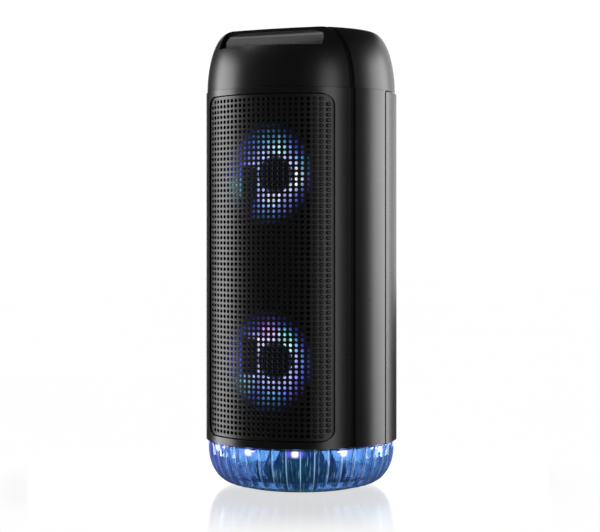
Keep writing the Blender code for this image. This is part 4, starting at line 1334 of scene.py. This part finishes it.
def block(low: tuple[float, float, float], high: tuple[float, float, float]) -> Mould:
    """A box between two corners."""
    outline = [(low[0], low[1]), (high[0], low[1]), (high[0], high[1]), (low[0], high[1])]
    return Mould().prism(np.array(outline), low[2], high[2])


def disc(radius: float, low: float, high: float) -> np.ndarray:
    """The profile of a round bar."""
    return np.array([(0, low), (radius, low), (radius, high), (0, high)], float)


def screw_frames() -> list[Matrix]:
    """Where each screw in the rear half stands: Z of a frame points outwards along the screw."""
    frames = []
    for index in range(4):
        low, high = span(f"shell_screw_{index + 1}")
        middle = (low + high) / 2
        turn = math.atan2(middle[0], -middle[1])
        out = Matrix.Rotation(turn, 4, "Z") @ Matrix.Rotation(math.pi / 2, 4, "X")
        frames.append(Matrix.Translation((0, 0, middle[2])) @ out)
    return frames


# ---------------------------------------------------------------- grille


@dataclass
class Grille:
    """The curved panel of round holes, all of them drawn along the speaker's front axis."""

    pitch_x: float = 5.2
    pitch_z: float = 5.07
    columns: int = 25
    rows: int = 64
    mouth: float = 1.95
    throat: float = 1.62
    sink: float = 0.4
    blind_columns: int = 3
    blind_radius: float = 1.0
    blind_depth: float = 1.3
    thickness: float = 1.6
    corner: float = 10.8

    def build(self) -> None:
        """Build the panel: cells from a square edge to a round hole, bent onto the body.

        A cell has twelve corners on its square edge, twelve on the hole's mouth, twelve on its
        throat and as many behind. A point (x, z) sunk by n lies at y = -sqrt(r^2 - x^2) + n.
        """
        low, high = span("grille")
        outer = -low[1]
        half, bottom, top = high[0], low[2], high[2]
        middle = (bottom + top) / 2
        t = np.radians(45 + 30 * np.arange(12))
        side = 1 / np.maximum(np.abs(np.cos(t)), np.abs(np.sin(t)))
        square = np.column_stack([side * np.cos(t) * self.pitch_x / 2, side * np.sin(t) * self.pitch_z / 2])
        circle = np.column_stack([np.cos(t), np.sin(t)])
        across = (np.arange(self.columns) - (self.columns - 1) / 2) * self.pitch_x
        up = (np.arange(self.rows) - (self.rows - 1) / 2) * self.pitch_z + middle
        centres = np.stack(np.meshgrid(across, up, indexing="ij"), -1).reshape(-1, 2)
        corner_centre = np.array([half - self.corner, top - middle - self.corner])
        beyond = np.abs(centres - (0, middle)) - corner_centre
        inside = np.hypot(*np.maximum(beyond, 0).T) < self.corner - self.mouth - 1.6
        blind = np.abs(centres[:, 0]) > across[-self.blind_columns] - 0.1
        made = Mould()
        self.cells(made, centres[inside & ~blind], outer, [
            (square, 0.0), (circle * self.mouth, 0.0), (circle * self.throat, self.sink),
            (circle * self.throat, self.thickness), (square, self.thickness)])
        first = made.count
        dimples = centres[inside & blind]
        self.cells(made, dimples, outer, [
            (square, 0.0), (circle * self.mouth, 0.0), (circle * (self.mouth - 0.25), 0.3),
            (circle * self.blind_radius, self.blind_depth)])
        rim = first + np.arange(len(dimples) * 48).reshape(len(dimples), 4, 12)[:, 3]
        made.faces += rim.tolist()
        back = self.bent(dimples[:, None] + square, self.thickness, outer)
        made.add(back, np.arange(len(dimples) * 12).reshape(-1, 12))
        self.plain_cells(made, centres[~inside], square, outer, middle, corner_centre)
        self.border(made, outer, half, middle, top - middle, corner_centre)
        piece = made.piece("perforated_grille", GRILLE_BLACK, 30.0)
        settle(piece, "enclosure", "satin_black", "grille")

    def cells(self, made: Mould, centres: np.ndarray, outer: float,
              rings: list[tuple[np.ndarray, float]]) -> None:
        """Cells that all have the same rings, each joined to the next by quads.

        Args:
            made: The mould to add to.
            centres: The cells' centres (n, 2).
            outer: Outer radius of the panel.
            rings: Twelve corners about a centre and how far they are sunk, for each ring.
        """
        points = np.stack([self.bent(centres[:, None] + flat, sunk, outer) for flat, sunk in rings], 1)
        index = np.arange(points.size // 3).reshape(points.shape[:3])
        after = np.roll(index, -1, axis=2)
        quads = np.stack([index[:, :-1], after[:, :-1], after[:, 1:], index[:, 1:]], -1)
        made.add(points.reshape(-1, 3), quads.reshape(-1, 4))

    def bent(self, flat: np.ndarray, sunk: float, outer: float) -> np.ndarray:
        """Flat (x, z) points bent onto the body: y = -sqrt(r^2 - x^2), sunk along +Y by a share of the wall.

        At the back the radius is the panel's inner one, so that its wall is even.
        """
        x, z = flat[..., 0], flat[..., 1]
        front = np.sqrt(outer**2 - x**2)
        back = np.sqrt((outer - self.thickness) ** 2 - x**2)
        return np.stack([x, -(front + (back - front) * sunk / self.thickness), z], -1)

    def pulled_in(self, flat: np.ndarray, middle: float, corner_centre: np.ndarray) -> np.ndarray:
        """Points of the cells' rectangle kept inside the panel's round corners."""
        about = flat - (0, middle)
        beyond = np.maximum(np.abs(about) - corner_centre, 0)
        far = np.hypot(beyond[..., 0], beyond[..., 1])
        share = np.minimum(1.0, (self.corner - 0.9) / np.maximum(far, 1e-6))[..., None]
        inside = np.sign(about) * (np.minimum(np.abs(about), corner_centre) + beyond * share)
        return inside + (0, middle)

    def plain_cells(self, made: Mould, centres: np.ndarray, square: np.ndarray, outer: float, middle: float,
                    corner_centre: np.ndarray) -> None:
        """Cells too near a corner for a hole: a front face and a back face.

        Args:
            made: The mould to add to.
            centres: The cells' centres.
            square: Corners of a cell about its centre.
            outer: Outer radius of the panel.
            middle: Height of the panel's middle.
            corner_centre: Centre of the panel's corner arc from its middle.
        """
        flat = self.pulled_in(centres[:, None] + square, middle, corner_centre)
        for sunk in (0.0, self.thickness):
            points = self.bent(flat, sunk, outer)
            made.add(points, np.arange(len(centres) * 12).reshape(-1, 12))

    def border(self, made: Mould, outer: float, half: float, middle: float, tall: float,
               corner_centre: np.ndarray) -> None:
        """The plain edge: from the cells' rectangle out to the round corners, and round the rim.

        Args:
            made: The mould to add to.
            outer: Outer radius of the panel.
            half: Half of its width.
            middle: Height of its middle.
            tall: Half of its height.
            corner_centre: Centre of its corner arc from its middle.
        """
        a, b = self.columns * self.pitch_x / 2, self.rows * self.pitch_z / 2
        step = math.tan(math.radians(15))
        stops = 0.5 + np.array([-0.5, -0.5 * step, 0.5 * step])
        across = (np.arange(self.columns)[:, None] + stops).ravel() * self.pitch_x - a
        along = (np.arange(self.rows)[:, None] + stops).ravel() * self.pitch_z - b
        inner = np.concatenate([
            np.column_stack([across, np.full_like(across, -b)]),
            np.column_stack([np.full_like(along, a), along]),
            np.column_stack([-across, np.full_like(across, b)]),
            np.column_stack([np.full_like(along, -a), -along])])
        inner = inner + (0, middle)
        edge = inner - (0, middle)
        beyond = np.maximum(np.abs(edge) - corner_centre, 0)
        reach = np.hypot(beyond[:, 0], beyond[:, 1])[:, None]
        rounded = np.sign(edge) * (corner_centre + beyond * self.corner / np.maximum(reach, 1e-6))
        straight = np.where(np.abs(edge) > corner_centre, np.sign(edge) * (half, tall), edge)
        at_corner = (beyond > 0).all(axis=1)[:, None]
        outline = np.where(at_corner, rounded, straight)
        inner = self.pulled_in(inner, middle, corner_centre)
        lip = inner + (outline + (0, middle) - inner) * 0.8
        full = outline + (0, middle)
        rings = [(inner, 0.0), (lip, 0.0), (full, 0.35), (full, self.thickness), (inner, self.thickness)]
        grid = np.array([self.bent(flat, sunk, outer) for flat, sunk in rings])
        made.surface(grid, wrap_columns=True)


# ---------------------------------------------------------------- drivers


@dataclass
class Driver:
    """One driver behind the grille: its cone, dust cap, roll and ring of light."""

    side: str
    spots: tuple[Spot, ...]
    shade_top: float
    shade_low: float
    segments: int = 96
    neck: float = 13.8
    coil_outer: float = 13.5
    coil_inner: float = 12.5
    cone_fall: float = 16.0
    roll_wall: float = 0.7

    @property
    def height(self) -> float:
        """Height of the driver's axis."""
        low, high = span(f"{self.side}_magnet")
        return float(low[2] + high[2]) / 2

    def lit(self, part: str, ground: Colour, strength: float) -> LitDriver:
        """The finish of a part that the ring of light falls on, with that light painted on it."""
        return LitDriver(f"{self.side}_{part}_lit", self.height, ground, self.spots,
                         self.shade_top, self.shade_low, strength)

    def facing(self, mould: Mould) -> Mould:
        """Stand a mould turned about Z so that its axis points forward at the driver's height."""
        out = Matrix.Translation((0, 0, self.height)) @ Matrix.Rotation(math.pi / 2, 4, "X")
        return mould.placed(out)

    def cone(self) -> None:
        """The cone: a curved wall with pressed rings, depth + 0.3 sin(34 share), and its coil former."""
        low, high = span(f"{self.side}_cone")
        rim, mouth, tail = float(high[0]), float(-low[1]), float(-high[1])
        r = np.linspace(rim, self.neck, 27)
        share = (rim - r) / (rim - self.neck)
        pressed = 0.3 * np.sin(share * 34) * np.sin(math.pi * share)
        drop = (mouth - 0.5) - self.cone_fall * share**0.92 + pressed
        front = np.column_stack([r, drop])
        back = front[::-1] + (-0.2, -1.0)
        coil = [(self.coil_outer, 51.0), (self.coil_outer, tail),
                (self.coil_inner, tail), (self.coil_inner, 52.4)]
        profile = np.concatenate([front[:-1], coil[::-1], back[1:]])
        made = self.facing(Mould().turned(profile, self.segments)).piece(
            f"{self.side}_ribbed_cone", self.lit("cone", (0.02, 0.022, 0.025), 1.25))
        settle(made, f"{self.side}_cone_unit", "paper_cone", f"{self.side}_cone")

    def dust_cap(self) -> None:
        """The dust cap: a low dome, r = radius cos e, depth = foot + rise sin e, with a lip."""
        low, high = span(f"{self.side}_dust_cap")
        radius, top, foot = float(high[0]), float(-low[1]), float(-high[1])
        e = arc(0, 90, 14)
        rise = top - foot
        dome = np.column_stack([radius * np.cos(e), foot + rise * np.sin(e)])
        under = np.column_stack([(radius - 1.0) * np.cos(e), foot + (rise - 0.9) * np.sin(e)])[::-1]
        made = self.facing(Mould().turned(np.concatenate([dome, under]), self.segments))
        made = made.piece(f"{self.side}_dome", GLOSS)
        settle(made, f"{self.side}_cone_unit", "gloss_black", f"{self.side}_dust_cap")

    def roll(self) -> None:
        """The rubber roll: half a circle between the cone's rim and the frame."""
        low, high = span(f"{self.side}_surround")
        outer, seat = float(high[0]), float(-high[1])
        inner = float(span(f"{self.side}_cone")[1][0]) + GAP
        radius = (outer - 2.0 - inner - 0.4) / 2
        middle = inner + 0.4 + radius
        t = arc(180, 0, 14)
        over = np.column_stack([middle + radius * np.cos(t), seat + radius * np.sin(t)])
        bore = radius - self.roll_wall
        under = np.column_stack([middle + bore * np.cos(t), seat + bore * np.sin(t)])[::-1]
        profile = np.concatenate([[(inner, seat - 1.4), (inner, seat)], over,
                                  [(outer, seat + 0.8), (outer, seat)], under,
                                  [(inner + self.roll_wall, seat - 1.4)]])
        made = self.facing(Mould().turned(profile, self.segments)).piece(
            f"{self.side}_rubber_roll", self.lit("roll", (0.02, 0.02, 0.022), 1.1))
        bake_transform(made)
        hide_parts(f"{self.side}_surround")
        log.info("%s bends between the enclosure and the cone", made.name)

    def light_ring(self) -> None:
        """The ring of light: a diffuser whose crown is half a flat ellipse, crown - 1.2 + 1.2 sin t."""
        low, high = span(f"{self.side}_light_ring")
        outer, seat, crown = float(high[0]), float(-high[1]), float(-low[1])
        inner = float(span(f"{self.side}_surround")[1][0]) + GAP
        half, middle = (outer - inner) / 2, (outer + inner) / 2
        t = arc(180, 0, 10)
        arch = np.column_stack([middle + half * np.cos(t), crown - 1.2 + 1.2 * np.sin(t)])
        profile = np.concatenate([[(inner, seat)], arch, [(outer, seat)]])
        made = self.facing(Mould().turned(profile, 144)).piece(
            f"{self.side}_diffuser_ring", self.lit("ring", (0.03, 0.035, 0.045), 0.8))
        settle(made, "enclosure", "diffuser", f"{self.side}_light_ring")

    def build(self) -> None:
        """Build the driver's seen parts and dress the rest."""
        self.cone()
        self.dust_cap()
        self.roll()
        self.light_ring()
        dress(f"{self.side}_gasket", FOAM)
        dress(f"{self.side}_driver_frame", SATIN)
        dress(f"{self.side}_magnet", STEEL)
        dress(f"{self.side}_spider", SPIDER)


# ---------------------------------------------------------------- rear


@dataclass
class Rear:
    """The bass port, the recessed jack panel with its sockets, and what lies behind them."""

    port_inner: float = 24.0
    port_outer: float = 27.0

    def port(self) -> None:
        """The port: rings at radius r, y = tail or the body's curve sqrt(R^2 - x^2) less a drop."""
        low, high = span("bass_port")
        centre, tail = float(low[2] + high[2]) / 2, float(low[1])
        face = PLAN.rear_radius + 0.6
        t = np.linspace(0, math.tau, 96, endpoint=False)
        flare = np.linspace(0, 1, 11)
        rings = [(self.port_outer, None), (self.port_outer, 0.5),
                 (self.port_outer - 0.25, 0.12), (self.port_outer - 0.6, 0.0)]
        rings += [(self.port_inner + 2.6 * (1 - s) ** 2.2, 14.0 * s**1.4) for s in flare]
        rings += [(self.port_inner, None)]
        grid = []
        for radius, drop in rings:
            x, z = radius * np.cos(t), radius * np.sin(t)
            y = np.full_like(x, tail) if drop is None else np.sqrt(face**2 - x**2) - drop
            grid.append(np.column_stack([x, y, z + centre]))
        made = Mould().surface(np.array(grid), wrap_rows=True, wrap_columns=True).piece("flared_port", SATIN)
        settle(made, "enclosure", "satin_black", "bass_port")

    def panel(self) -> None:
        """The jack panel, and the finishes of what stands behind it."""
        made = soften(recast("jack_panel", "recessed_panel", SATIN), 0.35)
        settle(made, "enclosure", "satin_black", "jack_panel")
        dress("main_board", BOARD)
        dress("battery_pack", WRAP)
        dress("battery_cradle", MATTE)

    def sockets(self) -> None:
        """The sockets: copies with rounded edges, and a threaded collar for the microphone."""
        for node, name, finish, slot in (("aux_socket", "aux_collar", SATIN, "satin_black"),
                                         ("usb_socket", "usb_shell", CHROME, "socket_metal"),
                                         ("charge_socket", "charge_shell", CHROME, "socket_metal"),
                                         ("switch_housing", "switch_frame", SATIN, "satin_black"),
                                         ("mic_socket", "mic_collar", CHROME, "socket_metal")):
            settle(soften(recast(node, name, finish), 0.12), "enclosure", slot, node)
        rocker = soften(recast("power_rocker", "rocker_cap", GLOSS), 0.3)
        settle(rocker, "rocker", "gloss_black", "power_rocker")

    def build(self) -> None:
        """Build the rear."""
        self.port()
        self.panel()
        self.sockets()


# ---------------------------------------------------------------- top


class Sign(Enum):
    """Signs on the five buttons."""

    LIGHT = "light"
    PREVIOUS = "previous"
    PLAY = "play"
    NEXT = "next"
    POWER = "power"


@dataclass
class Deck:
    """The control deck, its five buttons with their signs, and the hand pocket."""

    radius: float = 4.5
    flange_height: float = 8.8
    slope_foot: float = 428.2
    raised: float = 0.12

    def outlines(self, sign: Sign) -> list[np.ndarray]:
        """Closed (x, y) outlines of a sign, about the button's centre.

        Args:
            sign: The sign.

        Returns:
            One outline for each stroke or shape.
        """
        right = np.array([(-1.1, -1.3), (1.1, 0.0), (-1.1, 1.3)])
        bar = np.array([(-0.22, -1.3), (0.22, -1.3), (0.22, 1.3), (-0.22, 1.3)])
        if sign is Sign.PLAY:
            return [right * 0.9 - (0.9, 0), bar * 0.9 + (0.75, 0), bar * 0.9 + (1.65, 0)]
        if sign is Sign.NEXT:
            return [right * 0.75 - (1.1, 0), right * 0.75 + (0.55, 0), bar * 0.75 + (1.65, 0)]
        if sign is Sign.PREVIOUS:
            return [outline * (-1, 1) for outline in self.outlines(Sign.NEXT)]
        start, end = (0, 360) if sign is Sign.LIGHT else (120, 420)
        t = arc(start, end, 28)
        out, into = (0.85, 0.0) if sign is Sign.LIGHT else (1.6, 1.25)
        ring = [out * np.column_stack([np.cos(t), np.sin(t)])]
        if into:
            hollow = into * np.column_stack([np.cos(t), np.sin(t)])[::-1]
            ring = [np.concatenate([ring[0], hollow]), bar * 0.8 + (0, 1.1)]
        if sign is Sign.LIGHT:
            ring[0] = ring[0][:-1]
            for turn in arc(0, 315, 7):
                ray = np.array([(1.15, -0.14), (1.8, -0.14), (1.8, 0.14), (1.15, 0.14)])
                c, s = math.cos(turn), math.sin(turn)
                ring.append(ray @ np.array([(c, s), (-s, c)]))
        return ring

    def button(self, sign: Sign) -> None:
        """A button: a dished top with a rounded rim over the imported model's flange and stem."""
        node = f"button_{sign.value}"
        low, high = span(node)
        x, y = (low + high)[:2] / 2
        top, stem = float(high[2]), float(low[2])
        flange = stem + self.flange_height
        dish = np.linspace(0, 1, 8)[::-1]
        head = np.column_stack([3.6 * dish, top - 0.35 + 0.35 * dish**2])
        t = arc(0, 90, 5)
        rim = np.column_stack([self.radius - 0.7 + 0.7 * np.cos(t), top - 0.7 + 0.7 * np.sin(t)])
        profile = np.concatenate([[(0, stem), (2, stem), (2, flange - 1.2), (self.radius + 1.1, flange - 1.2),
                                   (self.radius + 1.1, flange), (self.radius, flange)], rim, head])
        place = Matrix.Translation((x, y, 0))
        body = f"{sign.value}_button"
        made = Mould().turned(profile, 48).placed(place).piece(f"{sign.value}_key", RUBBER)
        settle(made, body, "soft_black", node)
        marks = Mould()
        for outline in self.outlines(sign):
            marks.joined(Mould().prism(outline, top - 0.36, top - 0.2 + self.raised))
        settle(marks.placed(place).piece(f"{sign.value}_sign", INK), body, "silver")

    def build(self) -> None:
        """Build the deck, its buttons and the hand pocket."""
        slope = SlopeMoulding("deck_black_moulding", (0.004, 0.004, 0.0043), 0.3, 0.003, 0.4,
                              low=self.slope_foot, high=PLAN.top)
        for node, name, finish, edge, slot in (("control_deck", "sloped_deck", slope, 0.4, "satin_black"),
                                               ("handle_tub", "pocket_tub", SATIN, 0.4, "satin_black"),
                                               ("grip_bar", "rubber_grip", GRIP, 0.8, "soft_black")):
            settle(soften(recast(node, name, finish), edge), "enclosure", slot, node)
        for sign in Sign:
            self.button(sign)
        dress("button_board", BOARD)


# ---------------------------------------------------------------- studio


@dataclass
class Softbox:
    """A soft panel of light round the speaker.

    Attributes:
        name: Its name.
        turn: Where it stands, in degrees from the front towards +X.
        width: Its width in metres.
        tall: Its height in metres.
        radiance: How bright its face is.
        height: Height of its middle in metres.
        distance: Distance from the speaker's axis in metres.
    """

    name: str
    turn: float
    width: float
    tall: float
    radiance: float
    height: float = 0.35
    distance: float = 2.2

    def build(self) -> None:
        """Make the area light, aimed at the speaker and unseen by the camera."""
        light = bpy.data.lights.new(self.name, "AREA")
        light.shape = "RECTANGLE"
        light.size, light.size_y = self.width, self.tall
        light.energy = self.radiance * math.pi * self.width * self.tall
        obj = bpy.data.objects.new(self.name, light)
        a = math.radians(self.turn)
        place = Matrix.Translation((self.distance * math.sin(a), -self.distance * math.cos(a), self.height))
        aim = place.translation.copy()
        aim.z -= AIM_HEIGHT
        obj.matrix_world = place @ aim.to_track_quat("Z", "Y").to_matrix().to_4x4()
        obj.visible_camera = False
        bpy.context.scene.collection.objects.link(obj)


@dataclass
class Studio:
    """Camera, floor, surroundings and lights."""

    azimuth: float = 26.2
    distance: float = 1.68
    height: float = 0.257
    lens: float = 100.8
    shift: tuple[float, float] = (-0.002, -0.0667)
    floor_half: float = 6000.0
    dim: float = 0.045
    white: float = 1.05

    def camera(self) -> None:
        """A level camera at the speaker's middle height."""
        data = bpy.data.cameras.new("camera")
        data.lens = self.lens
        data.sensor_width = 36.0
        data.shift_x, data.shift_y = self.shift
        camera = bpy.data.objects.new("camera", data)
        a = math.radians(self.azimuth)
        place = Matrix.Translation((self.distance * math.sin(a), -self.distance * math.cos(a), self.height))
        camera.matrix_world = place @ Matrix.Rotation(a, 4, "Z") @ Matrix.Rotation(math.pi / 2, 4, "X")
        bpy.context.scene.collection.objects.link(camera)
        bpy.context.scene.camera = camera

    def floor(self) -> None:
        """A wide pale floor."""
        x = np.linspace(-self.floor_half, self.floor_half, 3)
        grid = np.stack([*np.meshgrid(x, x, indexing="ij"), np.zeros((3, 3))], -1)
        made = Mould().surface(grid).piece("studio_floor", FLOOR)
        made.visible_glossy = False
        made.visible_transmission = False

    def surroundings(self) -> None:
        """White behind the speaker, and dim elsewhere."""
        world = bpy.data.worlds.new("surroundings")
        bpy.context.scene.world = world
        world.use_nodes = True
        tree = world.node_tree
        tree.nodes.clear()
        out = tree.nodes.new("ShaderNodeOutputWorld")
        mix = tree.nodes.new("ShaderNodeMixShader")
        path = tree.nodes.new("ShaderNodeLightPath")
        dim, white = tree.nodes.new("ShaderNodeBackground"), tree.nodes.new("ShaderNodeBackground")
        dim.inputs["Color"].default_value = (1.0, 1.0, 1.0, 1.0)
        dim.inputs["Strength"].default_value = self.dim
        white.inputs["Color"].default_value = (1.0, 1.0, 1.0, 1.0)
        white.inputs["Strength"].default_value = self.white
        tree.links.new(path.outputs["Is Camera Ray"], mix.inputs[0])
        tree.links.new(dim.outputs[0], mix.inputs[1])
        tree.links.new(white.outputs[0], mix.inputs[2])
        tree.links.new(mix.outputs[0], out.inputs["Surface"])
        bpy.context.scene.view_settings.view_transform = "Standard"

    def build(self) -> None:
        """Set the studio up."""
        self.camera()
        self.floor()
        self.surroundings()
        for light in (Softbox("left_panel", -79.5, 1.45, 1.6, 5.6),
                      Softbox("right_panel", 61.0, 0.7, 1.6, 3.0),
                      Softbox("rear_right_panel", 137.0, 1.4, 1.6, 3.9),
                      Softbox("rear_left_panel", -153.0, 1.2, 1.4, 2.0),
                      Softbox("top_panel", -92.0, 2.8, 1.3, 3.6, 2.1, 1.1),
                      Softbox("backdrop_card", 153.8, 5.6, 1.8, 1.05, 0.9, 3.2)):
            light.build()


def main() -> None:
    """Build every sub-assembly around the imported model."""
    Studio().build()
    Base().build()
    Shells().build()
    Grille().build()
    Driver("upper", UPPER_SPOTS, 8.0, -40.0).build()
    Driver("lower", LOWER_SPOTS, 22.0, -14.0).build()
    Rear().build()
    Deck().build()


if __name__ == "__main__":
    logging.basicConfig(level=logging.INFO, format="%(name)s: %(message)s")
    main()
